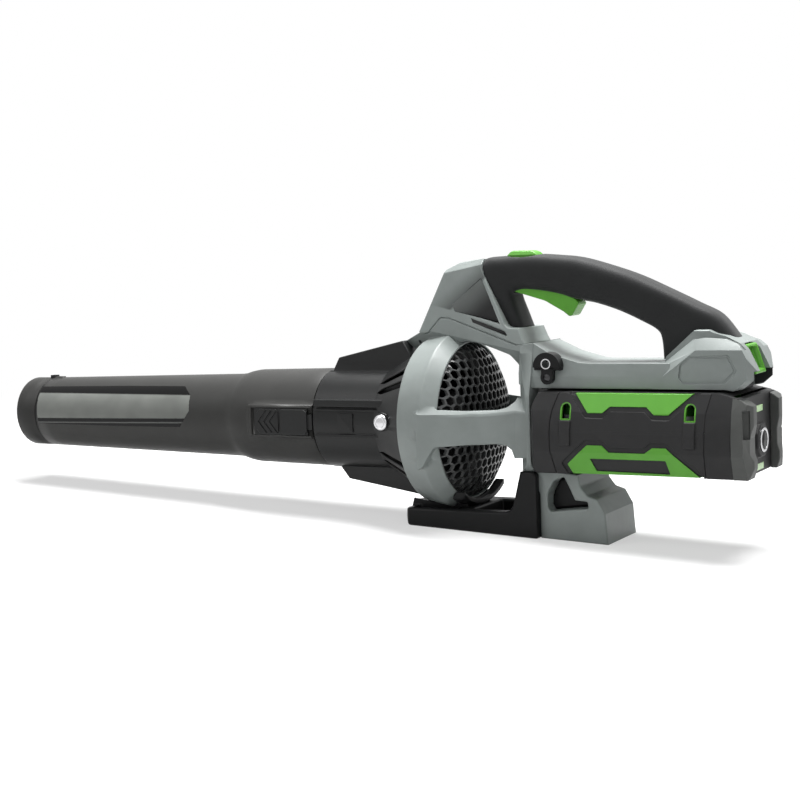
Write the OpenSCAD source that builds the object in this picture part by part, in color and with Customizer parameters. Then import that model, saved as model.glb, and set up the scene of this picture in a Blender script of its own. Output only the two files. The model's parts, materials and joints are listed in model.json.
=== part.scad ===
// Cordless axial leaf blower, held in one hand, with a slide-on battery pack.
// Millimetres, +Z up, blowing towards -X, standing on its own foot.
// Pieces are drawn along the air axis and then tipped nose-down by the stance.
// x of the tube counts from the nozzle tip, and x of the body from the fan ring's front edge.

/* [Stance] */
// Gap from the floor to the bottom of the fan ring
ring_lift = 14.5; // [13:0.5:18]
// Nose-down tilt of the air axis, in degrees
tilt = 2.6; // [2:0.1:3]

/* [Blow tube] */
// Length of the tube from its tip to the seam with the barrel
tube_len = 421; // [340:1:520]
// Outer radius at the nozzle tip
nozzle_r = 39.8; // [34:0.2:42]
// Outer radius of the cone where the collar's shoulder begins
cone_end_r = 45.4; // [44:0.2:46]
// Wall of the tube
tube_wall = 2.2; // [1.6:0.1:2.6]
// Length of the hard ring at the tip
tip_ring_len = 28; // [16:1:40]
// Length of the wide collar that slides over the barrel's spigot
collar_len = 93; // [85:1:110]

/* [Barrel] */
// Outer radius of the spigot that the tube slides on
spigot_r = 48; // [46:0.2:48.4]
// Length of the spigot
spigot_len = 60; // [48:1:70]
// Outer radius of the barrel
barrel_r = 53; // [52:0.2:56]
// Length from the tube's seam to the fan ring
barrel_len = 118; // [110:1:140]
// Wall of the barrel
barrel_wall = 3; // [2:0.1:3.4]

/* [Fan ring] */
// Outer radius of the ring
ring_r = 90; // [87:0.5:92]
// Length of the ring along the air axis
ring_len = 42.5; // [40:0.5:46]
// Depth of the domed grille
dome_depth = 31.5; // [26:0.5:38]
// Wall of the grille
dome_wall = 2.4; // [1.8:0.1:3]
// Pitch of the honeycomb
hex_pitch = 9.6; // [8:0.2:14]
// Web between two cells
hex_web = 1.4; // [1:0.1:2]

/* [Fan and motor] */
// Radius of the duct round the fan
duct_r = 56; // [52:0.5:58]
// Gap from a blade's tip to the duct
tip_gap = 0.7; // [0.5:0.1:1.5]
// Number of fan blades
blade_count = 9; // [5:1:11]
// Radius of the fan's hub
hub_r = 29; // [24:0.5:29.5]
// Outer radius of the motor's housing
motor_r = 30; // [29:0.5:33]
// Wall of the motor's housing
motor_wall = 2; // [1.5:0.1:2.5]
// Number of guide vanes round the motor
vane_count = 7; // [5:1:9]
// Radius of the motor shaft
shaft_r = 4; // [3:0.25:5]

/* [Handle] */
// Half of the grip's width
grip_half = 18; // [16.5:0.5:20]
// Thickness of the soft grip over the handle's core
grip_skin = 4; // [3:0.5:5]
// Thickness of the soft grip at its sides
grip_side = 5; // [4:0.5:6]
// Half of the trigger's width
trigger_half = 10; // [8:0.5:10]
// Radius of the trigger's pin
pin_r = 2; // [1.5:0.25:2.5]
// Stroke of the boost button
boost_stroke = 3; // [2:0.5:3]

/* [Battery] */
// Length of the pack along the machine
pack_len = 220; // [205:1:224]
// Half of the pack's width
pack_half = 59; // [57:0.5:62]
// Depth of the pack under the air axis
pack_drop = 44; // [43.5:0.5:46]
// Wall of the pack's shells
pack_wall = 3; // [2:0.2:3.2]
// Radius of one cell
cell_r = 10.5; // [9:0.1:10.6]
// Length of one cell
cell_len = 70; // [60:1:70]

/* [Fits] */
// Running gap between pieces that move past each other
run_gap = 0.4; // [0.3:0.05:0.6]
// Gap of a shaft or pin in its bore
bore_gap = 0.05; // [0.02:0.01:0.1]
// Clearance of the tube on its spigot
slip_gap = 0.2; // [0.1:0.05:0.3]

/* [Hidden] */
$fn = 96;

// Stations along the air axis
seam_gap = 2;
barrel_screw_at = [-28, 3];
ring_x = tube_len + seam_gap + barrel_len;
axis_h = ring_r + ring_lift - ring_x * sin(tilt);
wall_front = 113;
wall_back = 127;
wall_low = -pack_drop - 1;
pack_x = wall_back + 1;
pack_end = pack_x + pack_len;
foot_of_rib = 31;
nose_x = -nozzle_r * sin(tilt);
tail_x = (ring_x + pack_end) * cos(tilt) + foot_of_rib * sin(tilt);
mid_x = (nose_x + tail_x) / 2;

// Tube
tube_in = nozzle_r - tube_wall;
land_len = 19;
collar_x = tube_len - collar_len;
shoulder_x = collar_x - 28;
collar_bore = spigot_r + slip_gap;
spigot_x = tube_len + seam_gap - spigot_len;

// Latch in the left side of the tube's collar
latch_x = tube_len - 71;
latch_half = 14;
latch_floor = 50.8;
latch_stroke = 3.5;

// Ring and duct
ring_front_r = ring_r - 6;
ring_bore = ring_r - 9.5;
lip_r = ring_r - 11.4;
lip_x = 33;
dome_r = lip_r - 0.3;
dome_x = 35;
grille_rim = 2;
flare_r = ring_r - 14;
flare_len = 44;
flange_r = ring_bore - 0.3;
screw_seat = barrel_r + (flare_r - barrel_r) * (1 + barrel_screw_at[0] / flare_len) + 3.6;

// Fan and motor
fan_front = -8;
fan_back = 20;
motor_front = -96;
motor_back = -16;
bearing_r = 11;
bearing_w = 7;
rotor_r = 15.4;

// Seat of the battery pack
pack_top = 34;
cap_end = pack_end - 9;
part_z = -1.5;
gauge_z = -13;
rail_neck = 22;
rail_head = 28;
rail_lip = 41;
rail_top = 48;
release_half = 15;
blade_y = [-18, -9, 0, 9, 18];
pack_mid = (pack_x + pack_end) / 2 - 3;
vent_x = [-66, 57];
inlay_top = 0.9;
inlay_floor = 2;
border = 4.5;
// Seams between the pack's shells and its caps, from top to bottom
FRONT_LINE = [[pack_x + 32, 60], [pack_x + 32, 34], [pack_x + 27, 18], [pack_x + 25, 6],
              [pack_x + 25, -20], [pack_x + 31, -60]];
REAR_LINE = [[pack_end - 37, 60], [pack_end - 37, 33], [pack_end - 41, 14], [pack_end - 44, -60]];
// Upper and lower green fields of one side, about the pack's middle
UPPER_FIELD = [[-60, 35], [60, 35], [36, 14], [22, 14], [14, 21], [-22, 21], [-29, 15], [-44, 15]];
LOWER_FIELD = [[-66, -34], [-44, -15], [-29, -15], [-22, -21.5], [13, -21.5], [21, -16], [34, -16],
               [64, -43], [64, -46], [-60, -46]];
// Bare place in the lower field
FIELD_GAP = [[-42, -28], [33, -28], [36, -41], [-37, -40]];

// Handle
pivot = [100, 135];
release_pivot = [pack_end - 26, 63];
core_half = grip_half - grip_side;
core_wall = 3;
boost_half = 8.4;
boost_x = [91, 122];
boost_z = 150;
scoop_r = 86;
boost_floor = boost_z - boost_stroke - run_gap;
// Screws of the housing: the place of each and how far from the middle its head sits
screw_at = [[-12, 80, 13], [120, 66, 27], [pack_end - 92, 54, 27], [pack_end - 72, 64, 27]];
lug_at = [146, 60.5];
lug_screw_at = [145.5, 47];
eyelet_r = 5;
// Seam between the frame over the grille and the handle's shell
SEAM = [[-7.5, 90.5], [-3, 89], [4, 90], [18.5, 105], [29, 104.5], [109, 77.5], [117, 78.6]];
SHELL = concat(SEAM, [[114.5, 84], [111, 93.8], [98, 94.5], [94.5, 97.5], [70, 145], [66.5, 153], [66.5, 162.5],
                      [56, 161.8], [37.5, 159.4], [23, 152.6]]);
// Scooped place in the shell's side, and the slot under it
SCOOP = [[33, 118], [36, 111], [90.5, 97.8], [66, 143.5]];
insert_t = 1.6;
SLOT = [[55, 104.2], [57.5, 99.8], [97.5, 86.2], [95, 90.6]];

// Grip stations: a point on the outside of the loop and its partner on the hand's side
GRIP = [
    [[83, 89], [110.5, 89]], [[77, 108], [103.5, 108]], [[70, 128], [98.5, 121.5]],
    [[62, 148], [98.5, 128]], [[66, 162], [107, 130.5]], [[88, 164.5], [118, 130]],
    [[118, 165.5], [132, 128]], [[145, 163.5], [147, 125]], [[168, 160.5], [163, 120]],
    [[196, 152.5], [184, 116]], [[226, 142], [207, 108.5]],
    [[pack_end - 92, 128], [pack_end - 118, 98.5]], [[pack_end - 64, 114.5], [pack_end - 102, 89.5]],
    [[pack_end - 42, 103], [pack_end - 98, 80]], [[pack_end - 25, 82], [pack_end - 97, 62]]
];
// Black recess in the side of the rear leg
RECESS = [[142, -84], [139, -79], [139.5, -66], [146, -54], [157, -49.5], [163, -61.5], [168, -72],
          [181, -73], [181.5, -79.5], [166, -81]];
// Octagonal place on the rear housing, about the pack's end
PLACE = [[-72, 46], [-68, 41.5], [-29, 41.5], [-17, 53], [-24, 67.5], [-62, 67.5], [-72, 58.5]];

// ---------------------------------------------------------------- helpers

// Tips a piece that is drawn along the air axis into the stance.
module stand() translate([-mid_x, 0, axis_h]) rotate([0, -tilt, 0]) children();

// The same for a piece drawn from the ring's front edge, cut flat where it meets the floor.
module body_stand() stand() translate([ring_x, 0, 0]) children();
module on_floor()
    intersection() {
        body_stand() children();
        translate([-200, -120, 0]) cube([700, 240, 400]);
    }

// Turns an outline of [radius, x] points about the air axis.
module turned(points) rotate([0, 90, 0]) rotate_extrude() polygon(points);

// A rod or disc along the air axis.
module rod(r, x0, x1) translate([x0, 0, 0]) rotate([0, 90, 0]) cylinder(r = r, h = x1 - x0);

// An outline of [x, z] points, pulled from y0 to y1, or as far to both sides of the middle.
module side_plate(points, y0, y1)
    translate([0, y1, 0]) rotate([90, 0, 0]) linear_extrude(y1 - y0) polygon(points);
module side_slab(points, half) side_plate(points, -half, half);

// An outline of [y, z] points, pulled from x0 to x1.
module cross_slab(points, x0, x1)
    translate([x0, 0, 0]) rotate([90, 0, 90]) linear_extrude(x1 - x0) polygon(points);

// An outline of [x, y] points, pulled from z0 to z1.
module plan_slab(points, z0, z1) translate([0, 0, z0]) linear_extrude(z1 - z0) polygon(points);

// A box between two corners.
module block(a, b) translate(a) cube(b - a);

// A rod along Y through the point [x, z].
module cross_rod(r, at, y0, y1)
    translate([at[0], y1, at[1]]) rotate([90, 0, 0]) cylinder(r = r, h = y1 - y0);

// The piece and its mirror image across the middle.
module both_sides() {
    children();
    mirror([0, 1, 0]) children();
}

// Room between two walls that are `half` from the middle at the point [x, z], and that stand
// further apart by `along` for each millimetre of x and by `up` for each millimetre of z.
module lean_wall(at, half, along, up)
    translate([at[0], -half, at[1]])
        rotate([asin(up / norm([along, 1, up])), 0, -atan(along)])
            translate([-600, 0, -600]) cube([1200, 600, 1200]);
module between_walls(at, half, along, up)
    intersection() {
        lean_wall(at, half, along, up);
        mirror([0, 1, 0]) lean_wall(at, half, along, up);
    }

// The half of a clamshell on one side: -1 is the left half, 1 the right.
module half_of(side)
    intersection() {
        children();
        translate([-300, side < 0 ? -200 : 0, -300]) cube([900, 200, 600]);
    }

// A half outline of [y, z] points, closed by its mirror image.
function mirrored(half) =
    concat(half, [for (i = [len(half) - 1:-1:0]) [-half[i][0], half[i][1]]]);

function reversed(list) = [for (i = [len(list) - 1:-1:0]) list[i]];
function toward(a, b, d) = a + (b - a) * d / norm(b - a);
function past(line) = concat(line, [[900, line[len(line) - 1][1]], [900, line[0][1]]]);
function shifted(points, by) = [for (p = points) p + by];

// An outline that runs anticlockwise or clockwise, grown by d on every side.
function turn_of(points) =
    let (n = len(points), area = [for (i = [0:n - 1]) cross(points[i], points[(i + 1) % n])])
    sign(area * [for (a = area) 1]);
function grown(points, d) =
    let (n = len(points), out = turn_of(points) * d)
    [for (i = [0:n - 1])
        let (p = points[i], a = toward([0, 0], p - points[(i + n - 1) % n], 1),
             b = toward([0, 0], points[(i + 1) % n] - p, 1),
             normals = [a[1] + b[1], -a[0] - b[0]])
        p + out * normals / (1 + a * b)];

// ---------------------------------------------------------------- blow tube

module nozzle_ring() color([0.13, 0.13, 0.13])
    stand() difference() {
        turned([
            [tube_in - 1.2, 1.4], [tube_in - 0.4, 0.3], [nozzle_r - 1.4, 0], [nozzle_r - 0.4, 0.5],
            [nozzle_r, 1.6], [nozzle_r, 1.6 + land_len], [nozzle_r - 0.5, 2.2 + land_len],
            [nozzle_r - 0.5, tip_ring_len - 0.6], [nozzle_r - 0.8, tip_ring_len],
            [nozzle_r - 1.2, tip_ring_len], [nozzle_r - 1.2, 5], [tube_in - 1.2, 5]
        ]);
        block([tip_ring_len - 4, -3.7, nozzle_r - 4], [tip_ring_len + 4, 3.7, nozzle_r + 4]);
    }

module blow_tube() color([0.26, 0.26, 0.25])
    stand() difference() {
        union() {
            turned([
                [tube_in, 5], [nozzle_r - 1.2, 5], [nozzle_r - 1.2, tip_ring_len + 1],
                [nozzle_r + 0.1, tip_ring_len + 1.6], [cone_end_r, shoulder_x],
                [cone_end_r + 0.8, shoulder_x + 8], [cone_end_r + 3.4, shoulder_x + 17],
                [cone_end_r + 4.6, shoulder_x + 24], [cone_end_r + 5, collar_x],
                [barrel_r - 2.2, collar_x + 24], [barrel_r - 1, tube_len - 4],
                [barrel_r - 1.8, tube_len], [collar_bore, tube_len], [collar_bore, spigot_x - 4],
                [cone_end_r - tube_wall + 2, spigot_x - 14], [cone_end_r - tube_wall, shoulder_x]
            ]);
            // bayonet nub for a flat nozzle, with the strip behind it
            block([tip_ring_len - 4, -3.6, nozzle_r - 2], [tip_ring_len + 3, 3.6, nozzle_r + 3]);
            block([tip_ring_len + 2, -2.6, nozzle_r - 1.5], [tip_ring_len + 14, 2.6, nozzle_r + 1.4]);
            // frame round the latch
            intersection() {
                cross_slab([[-44, -19], [-barrel_r, -17], [-barrel_r - 0.8, -15], [-barrel_r - 0.8, 15],
                            [-barrel_r, 17], [-44, 19]], latch_x - 8, tube_len);
                difference() {
                    rod(80, latch_x - 8, tube_len);
                    rod(collar_bore + 1, latch_x - 9, tube_len + 1);
                }
            }
        }
        block([latch_x - latch_stroke - run_gap, -barrel_r - 5, -latch_half - run_gap],
              [tube_len + 1, -latch_floor, latch_half + run_gap]);
    }

module tube_latch() color([0.17, 0.17, 0.17])
    stand() difference() {
        union() {
            block([latch_x, -latch_floor - 3, -latch_half],
                  [tube_len - 4, -latch_floor - run_gap, latch_half]);
            // thumb pad and the plate behind it
            side_plate([[latch_x + 4, -9], [latch_x + 7, -12.5], [latch_x + 29, -12.5], [latch_x + 31, -10],
                        [latch_x + 31, 10], [latch_x + 29, 12.5], [latch_x + 7, 12.5], [latch_x + 4, 9]],
                       -latch_floor - 4.4, -latch_floor - 2);
            side_plate([[latch_x + 34, -11.5], [latch_x + 36, -13], [tube_len - 7, -13],
                        [tube_len - 4, -10], [tube_len - 4, 10], [tube_len - 7, 13],
                        [latch_x + 36, 13], [latch_x + 34, 11.5]],
                       -latch_floor - 4.6, -latch_floor - 2);
            // tooth that stops short of the barrel's catch
            block([tube_len - 5, -latch_floor - 2.6, -8], [tube_len + 1.4, -latch_floor - 0.6, 8]);
        }
        // chevrons of the thumb pad
        for (i = [0:2], up = [-1, 1])
            translate([latch_x + 7 + 7 * i, -latch_floor - 4.4, 0]) rotate([0, up * 50, 0])
                block([-1, -1, -1], [15, 1, 1]);
    }

// ---------------------------------------------------------------- barrel

// Outside and inside of the barrel
DUCT_SKIN = [[spigot_r, -barrel_len - spigot_len], [spigot_r, -barrel_len], [barrel_r, -barrel_len],
             [barrel_r, -flare_len], [flare_r, 0], [flare_r, 3]];
DUCT_BORE = [[flare_r - barrel_wall, 1], [barrel_r - barrel_wall, -flare_len],
             [spigot_r - barrel_wall, -barrel_len - spigot_len]];

// Solid that keeps what is on the barrel out of its inside
module duct_heart()
    turned([[0, -barrel_len - 12], [barrel_r - 1, -barrel_len - 12], [barrel_r - 1, -flare_len],
            [flare_r - 1, 0], [0, 0]]);

module fins()
    difference() {
        intersection() {
            union() {
                side_slab([[-112, 45], [-112, 52], [-106, 64.5], [-30, 81.5], [-19.5, 67], [-19.5, 45]], 16);
                side_slab([[-108, -45], [-108, -51], [-99, -63.5], [-19, -76.5], [-1, -79], [-1, -45]], 16);
            }
            cross_slab(mirrored([[12, -92], [16, -60], [16, 60], [11, 90]]), -130, 0);
        }
        duct_heart();
    }

module outlet_duct() color([0.16, 0.17, 0.17])
    body_stand() difference() {
        union() {
            turned(concat(DUCT_SKIN, [[flange_r, 3.2], [flange_r, 6], [flare_r - barrel_wall, 6]],
                          DUCT_BORE));
            fins();
            // rails of the channel and the catch block in it
            both_sides() intersection() {
                union() {
                    block([-115, -barrel_r - 1.8, 16.5], [-4, -40, 24]);
                    block([-115, -barrel_r - 1.2, 12.6], [-4, -40, 14]);
                    block([-115, -barrel_r - 1.2, -14.5], [-4, -40, -12]);
                    block([-87, -barrel_r - 1, -9.5], [-69, -40, 9.5]);
                }
                difference() {
                    rod(80, -116, -4);
                    duct_heart();
                }
            }
            // bosses of the barrel's screws
            difference() {
                barrel_screw_rods(9.6, 10);
                duct_heart();
            }
        }
        barrel_screw_rods(2.5, 16);
        // flat seats of the screws' heads
        both_sides() cross_rod(9.2, barrel_screw_at, -90, -screw_seat);
        // cooling slots along the flare, pointed at their front ends
        for (turn = [35, 48, 132, 145, 215, 228, 312, 325])
            rotate([turn, 0, 0])
                side_plate([[-45, 0], [-37, 3.2], [-5, 4.2], [-5, -4.2], [-37, -3.2]], barrel_r - 3, 90);
    }

module barrel_screw_rods(r, depth)
    both_sides() cross_rod(r, barrel_screw_at, -screw_seat, depth - screw_seat);

module barrel_screws() color("silver")
    body_stand() {
        both_sides() {
            cross_rod(8, barrel_screw_at, -screw_seat - 1.5, -screw_seat);
            cross_rod(5, barrel_screw_at, -screw_seat - 4, -screw_seat - 1.5);
        }
        barrel_screw_rods(2.5, 6);
    }

// Inlet throat that guides air on to the fan
module fan_shroud() color([0.2, 0.2, 0.2])
    body_stand() turned([
        [duct_r - 8, -flare_len + 1], [duct_r - 6, -34], [duct_r, -14], [duct_r, fan_back - 1],
        [duct_r + 1.6, fan_back + 4], [duct_r + 5.5, fan_back + 8], [flange_r - 11, lip_x - 2.8],
        [flange_r, lip_x - 2.8], [flange_r, lip_x - 5], [flange_r - 10, lip_x - 5],
        [duct_r + 7, fan_back + 6], [duct_r + 3.6, fan_back + 3], [duct_r + 2, fan_back - 1],
        [duct_r + 2, -14], [duct_r - 4, -34], [duct_r - 6, -flare_len + 1]
    ]);

// ---------------------------------------------------------------- motor and fan

module tail_cone() color([0.18, 0.18, 0.18])
    body_stand() turned([
        [0, -160], [3, -159], [8, -150], [16, -134], [23, -117], [27.5, -104], [motor_r, motor_front],
        [motor_r - motor_wall, motor_front], [25, -104], [20, -117], [13, -134], [5, -150], [0, -154]
    ]);

module motor_housing() color([0.2, 0.2, 0.2])
    body_stand() {
        difference() {
            rod(motor_r, motor_front, motor_back);
            rod(motor_r - motor_wall, motor_front + 3, motor_back + 1);
            rod(bearing_r - 3, motor_front - 1, motor_front + 4);
        }
        difference() {
            rod(bearing_r + 2, motor_front + 3, motor_front + 3 + bearing_w);
            rod(bearing_r, motor_front + 3, motor_front + 4 + bearing_w);
        }
        // guide vanes from the motor to the barrel
        intersection() {
            for (i = [0:vane_count - 1])
                rotate([i * 360 / vane_count, 0, 0]) translate([-70, 0, 0]) rotate([0, 0, 16])
                    block([-21, -1, motor_r - 0.6], [21, 1, barrel_r]);
            turned(concat(DUCT_BORE, [[0, -barrel_len - spigot_len], [0, 1]]));
        }
    }

module motor_stator() color([0.62, 0.42, 0.22])
    body_stand() difference() {
        rod(motor_r - motor_wall, -78, -34);
        rod(rotor_r + 0.8, -79, -33);
        // slots between the stator's teeth
        for (i = [0:11])
            rotate([i * 30, 0, 0]) block([-79, -1.6, rotor_r + 3], [-33, 1.6, motor_r - 5]);
    }

module motor_end_plate() color([0.55, 0.56, 0.57])
    body_stand() difference() {
        rod(motor_r - motor_wall, motor_back - 10, motor_back);
        rod(bearing_r, motor_back - 11, motor_back - 10 + bearing_w);
        rod(bearing_r - 3, motor_back - 4, motor_back + 1);
        for (i = [0:5]) rotate([i * 60, 0, 0]) translate([0, 0, 19]) rod(3.5, motor_back - 11, motor_back + 1);
    }

module motor_bearings() color("silver")
    body_stand() for (x = [motor_front + 3, motor_back - 10])
        difference() {
            rod(bearing_r, x, x + bearing_w);
            rod(shaft_r + bore_gap, x - 1, x + bearing_w + 1);
            for (side = [-0.01, bearing_w - 0.8])
                translate([x + side, 0, 0]) difference() {
                    rod(bearing_r - 2, 0, 0.81);
                    rod(shaft_r + 2, -1, 2);
                }
        }

module motor_rotor() color([0.72, 0.73, 0.75])
    body_stand() {
        rod(shaft_r, motor_front + 2, 31);
        difference() {
            rod(rotor_r, -76, -36);
            for (i = [0:7]) rotate([i * 45 + 22.5, 0, 0]) translate([0, 0, rotor_r]) rod(1, -77, -35);
        }
    }

// One fan blade, twisted from root to tip
module blade()
    translate([(fan_front + fan_back) / 2, 0, hub_r - 2])
        rotate([0, 0, 48]) linear_extrude(duct_r - hub_r + 2, twist = -20, slices = 4, segments = 9)
            polygon([[-16, -1.4], [-8, 1], [2, 2.2], [11, 1.8], [17, -0.4], [16.6, -1.2],
                     [9, 0.1], [0, 0.2], [-8, -0.8]]);

module fan() color([0.15, 0.15, 0.16])
    body_stand() {
        difference() {
            turned([
                [0, fan_front], [hub_r, fan_front], [hub_r, fan_back - 4], [hub_r - 3, fan_back + 2],
                [14, fan_back + 7], [0, fan_back + 7]
            ]);
            turned([
                [shaft_r + 5, fan_front - 1], [hub_r - 2.4, fan_front - 1], [hub_r - 2.4, fan_back - 6],
                [shaft_r + 5, fan_back - 6]
            ]);
            rod(shaft_r, fan_front - 1, fan_back + 8);
        }
        intersection() {
            for (i = [0:blade_count - 1]) rotate([i * 360 / blade_count, 0, 0]) blade();
            difference() {
                rod(duct_r - tip_gap, fan_front, fan_back);
                rod(hub_r - 1, fan_front - 1, fan_back + 1);
            }
        }
    }

module fan_nut() color("silver")
    body_stand() difference() {
        translate([fan_back + 7, 0, 0]) rotate([0, 90, 0]) cylinder(r = 8, h = 5, $fn = 6);
        rod(shaft_r, fan_back, 40);
    }

// ---------------------------------------------------------------- housing

// Solid ring round the fan, and all that has to stay free inside it
module ring_solid()
    turned([[0, 0], [ring_front_r, 0], [ring_r, 29], [lip_r + 1.4, ring_len], [0, ring_len]]);

module throat()
    turned([
        [0, -62], [barrel_r, -62], [barrel_r, -flare_len], [flare_r, 0], [flare_r, 3],
        [ring_bore, 3], [ring_bore, lip_x], [lip_r, lip_x], [lip_r, ring_len + 1], [0, ring_len + 1]
    ]);

// Side walls of the handle's shell and of the frame under it
module side_walls() between_walls([0, 81], 20, 0.1, -0.116);

// Frame over the grille, from the barrel's fin to the wall in front of the battery
module spine()
    intersection() {
        side_slab(concat([[-30, 81.5]], SEAM, [
            [wall_back, 79.6], [wall_back, 60], [wall_front, 60], [wall_front, 40], [108, 45], [105, 58.5], [98.5, 67.5],
            [76, 76], [62, 80.5], [46, 81.5], [30, 76], [2, 66], [-19.5, 67]
        ]), 34);
        side_walls();
        between_walls([94, 75.2], 30.1, 0.247, 0.66);
    }

module wall()
    intersection() {
        side_slab([[wall_front, wall_low], [wall_front, 76], [wall_back, 80], [wall_back, wall_low]], 46);
        plan_slab(concat([[wall_front, 35], [wall_front, -35], [wall_back - 4, -46], [wall_back, -46]],
                         [[wall_back, 46], [wall_back - 4, 46]]), -80, 100);
        cross_slab(mirrored([[40, wall_low], [46, wall_low + 9], [46, 28], [34, 70], [31.5, 80]]), 100, 130);
    }

// Arm from the ring to the wall, with its upper edge chamfered
module arm()
    intersection() {
        side_plate([[26, 42], [31, 39], [41, 20], [44, 18], [70, 16.5], [97, 16.5], [105, 18.5],
                    [110, 23.5], [112, 31], [wall_back, 31], [wall_back, -31], [112, -31], [110, -23.5],
                    [105, -18.5], [97, -16.5], [70, -16.5], [44, -18], [41, -20], [31, -37], [26, -40]],
                   -100, -30);
        plan_slab([[24, -91], [30, -89.9], [46, -84.5], [66, -76.5], [86, -67], [104, -56],
                   [113, -50], [wall_back - 4, -46], [wall_back, -46], [wall_back, -36], [112, -37],
                   [101, -49.5], [84, -60.5], [64, -70], [46, -77], [38, -80], [24, -80]], -60, 60);
        between_walls([48, 12.5], 84, -0.42, -1);
        between_walls([92, 12.5], 63.5, -0.56, -1);
    }

module beam()
    intersection() {
        side_slab([[wall_front, 40], [wall_front, 76], [wall_back, 79.6], [150, 68.4], [176, 61], [190, 60.2],
                   [pack_end - 97, 60.5], [pack_end - 82, 60.5], [pack_end - 82, pack_top + 2.5],
                   [wall_back, pack_top + 2.5]], 38);
        cross_slab(mirrored([[36, 31], [38, 38], [38, 48], [31.5, 80], [29, 92]]), 100, 400);
    }

// Housing of the battery release, with a collar for the grip's end
module bulge()
    translate([pack_end, 0, 0]) intersection() {
        union() {
            intersection() {
                side_slab([[-98, pack_top + 2.5], [-98, 61], [-88, 61], [-60, 82], [-49, 83.5], [-28, 82],
                           [-17, 77.8], [-11.5, 72], [-2, 52.5], [-3.5, 45], [-8, 41],
                           [-13.5, 36.5], [-21, pack_top + 1],
                           [-30, pack_top + 2.5]], 38);
                between_walls([-87, 48.7], 38, 0.47, -0.62);
                between_walls([-48, 72.5], 38, 0, -0.8);
            }
            side_slab([[-90, 60], [-88, 66], [-60, 90.5], [-47, 90.5], [-41, 87], [-30, 84.5], [-17, 78],
                       [-11.5, 72], [-11.5, 60]], 26);
        }
        between_walls([-12.5, 76], 38, -1.9, -1.3);
        between_walls([-8, 57], 38, -2.3, 0);
        between_walls([-17, 37], 38, -1.6, 1.6);
    }

module leg()
    difference() {
        side_slab([[wall_front, wall_low + 1], [165, wall_low - 1], [172, wall_low - 2], [174, -58],
                   [181, -67], [191, -70], [199, -84], [202, -125], [wall_back + 4, -125],
                   [wall_back + 4, -66], [wall_back, -60]], 37);
        side_slab(RECESS, 40);
        tongue();
    }

// Tongue of the base inside the leg, which shows as its black middle
module tongue() side_slab(concat([[120, -84], [120, -70], [139, -70]], [for (i = [2:9]) RECESS[i]],
                                 [RECESS[0]]), 22);

// Path of the pack's rail under the beam
module rail_way()
    union() {
        block([wall_back - 0.01, -rail_head - run_gap, rail_lip - run_gap],
              [pack_end + 12, rail_head + run_gap, rail_top + run_gap]);
        block([wall_back - 0.01, -rail_neck - run_gap, 20], [pack_end + 12, rail_neck + run_gap, rail_lip]);
        // the undercut where the rail leaves
        translate([pack_end, 0, 0])
            side_slab([[-22, 30], [-22, rail_top], [-10, rail_top + 4], [22, rail_top + 4], [22, 30]],
                      rail_head + run_gap);
    }

module housing_screw_holes(r, head_r)
    for (at = screw_at) {
        cross_rod(r, at, 2 - at[2], 60);
        cross_rod(head_r, at, at[2], 60);
    }

module housing()
    difference() {
        union() {
            difference() {
                union() {
                    ring_solid();
                    spine();
                    both_sides() arm();
                }
                throat();
            }
            wall();
            beam();
            bulge();
            leg();
        }
        rail_way();
        handle_core();
        // room for the controller
        block([142, -25, 50.6], [246, 25, 57.6]);
        // pocket of the terminal block
        block([116, -24, 40.6], [wall_back + 1, 24, rail_top + run_gap]);
        // room for the battery release
        translate([pack_end, 0, 0])
            side_slab([[-52, 47], [-52, 70], [-30, 75], [-22, 77.3], [12, 77.3], [12, 47]],
                      release_half + 0.6);
        cross_rod(pin_r, release_pivot, -19, 19);
        // eight-sided place in two steps, left bare
        translate([pack_end, 0, 0]) both_sides() {
            side_plate(PLACE, -40, -37.2);
            difference() {
                side_plate(PLACE, -40, -36.6);
                side_plate(grown(PLACE, -2.4), -41, -36);
            }
        }
        housing_screw_holes(2, 4.5);
        cross_rod(2, lug_screw_at, -40, -rail_head - 2.5);
    }

module housing_left() color([0.5, 0.53, 0.52]) on_floor() half_of(-1) housing();
module housing_right() color([0.5, 0.53, 0.52]) on_floor() half_of(1) housing();

module housing_screws() color("silver")
    body_stand() for (at = screw_at) {
        cross_rod(2, at, 3 - at[2], at[2]);
        difference() {
            cross_rod(4.3, at, at[2], at[2] + 3);
            cross_rod(1.8, at, at[2] + 1, at[2] + 4);
        }
    }

// ---------------------------------------------------------------- grille

function dome_at(a, inset) =
    [(dome_r - inset) * cos(a), dome_x + (dome_depth - inset) * sin(a)];

module honeycomb()
    intersection() {
        for (row = [-9:9], col = [-9:9]) {
            y = (col + (row % 2 == 0 ? 0 : 0.5)) * hex_pitch;
            z = row * hex_pitch * sqrt(3) / 2;
            if (norm([y, z]) < dome_r + 1)
                translate([dome_x - 5, y, z]) rotate([0, 90, 0])
                    cylinder(r = (hex_pitch - hex_web) / sqrt(3), h = dome_depth + 12, $fn = 6);
        }
        rod(dome_r - grille_rim, dome_x - 6, dome_x + dome_depth + 8);
    }

module intake_grille() color([0.09, 0.09, 0.09])
    body_stand() difference() {
        turned(concat(
            [[flange_r, lip_x - 2.6], [flange_r, lip_x - 0.2], [dome_r, lip_x - 0.2]],
            [for (a = [0:9:90]) dome_at(a, 0)],
            [for (a = [90:-9:0]) dome_at(a, dome_wall)],
            [[dome_r - dome_wall, lip_x - 2.6]]
        ));
        honeycomb();
    }

// ---------------------------------------------------------------- base

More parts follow.
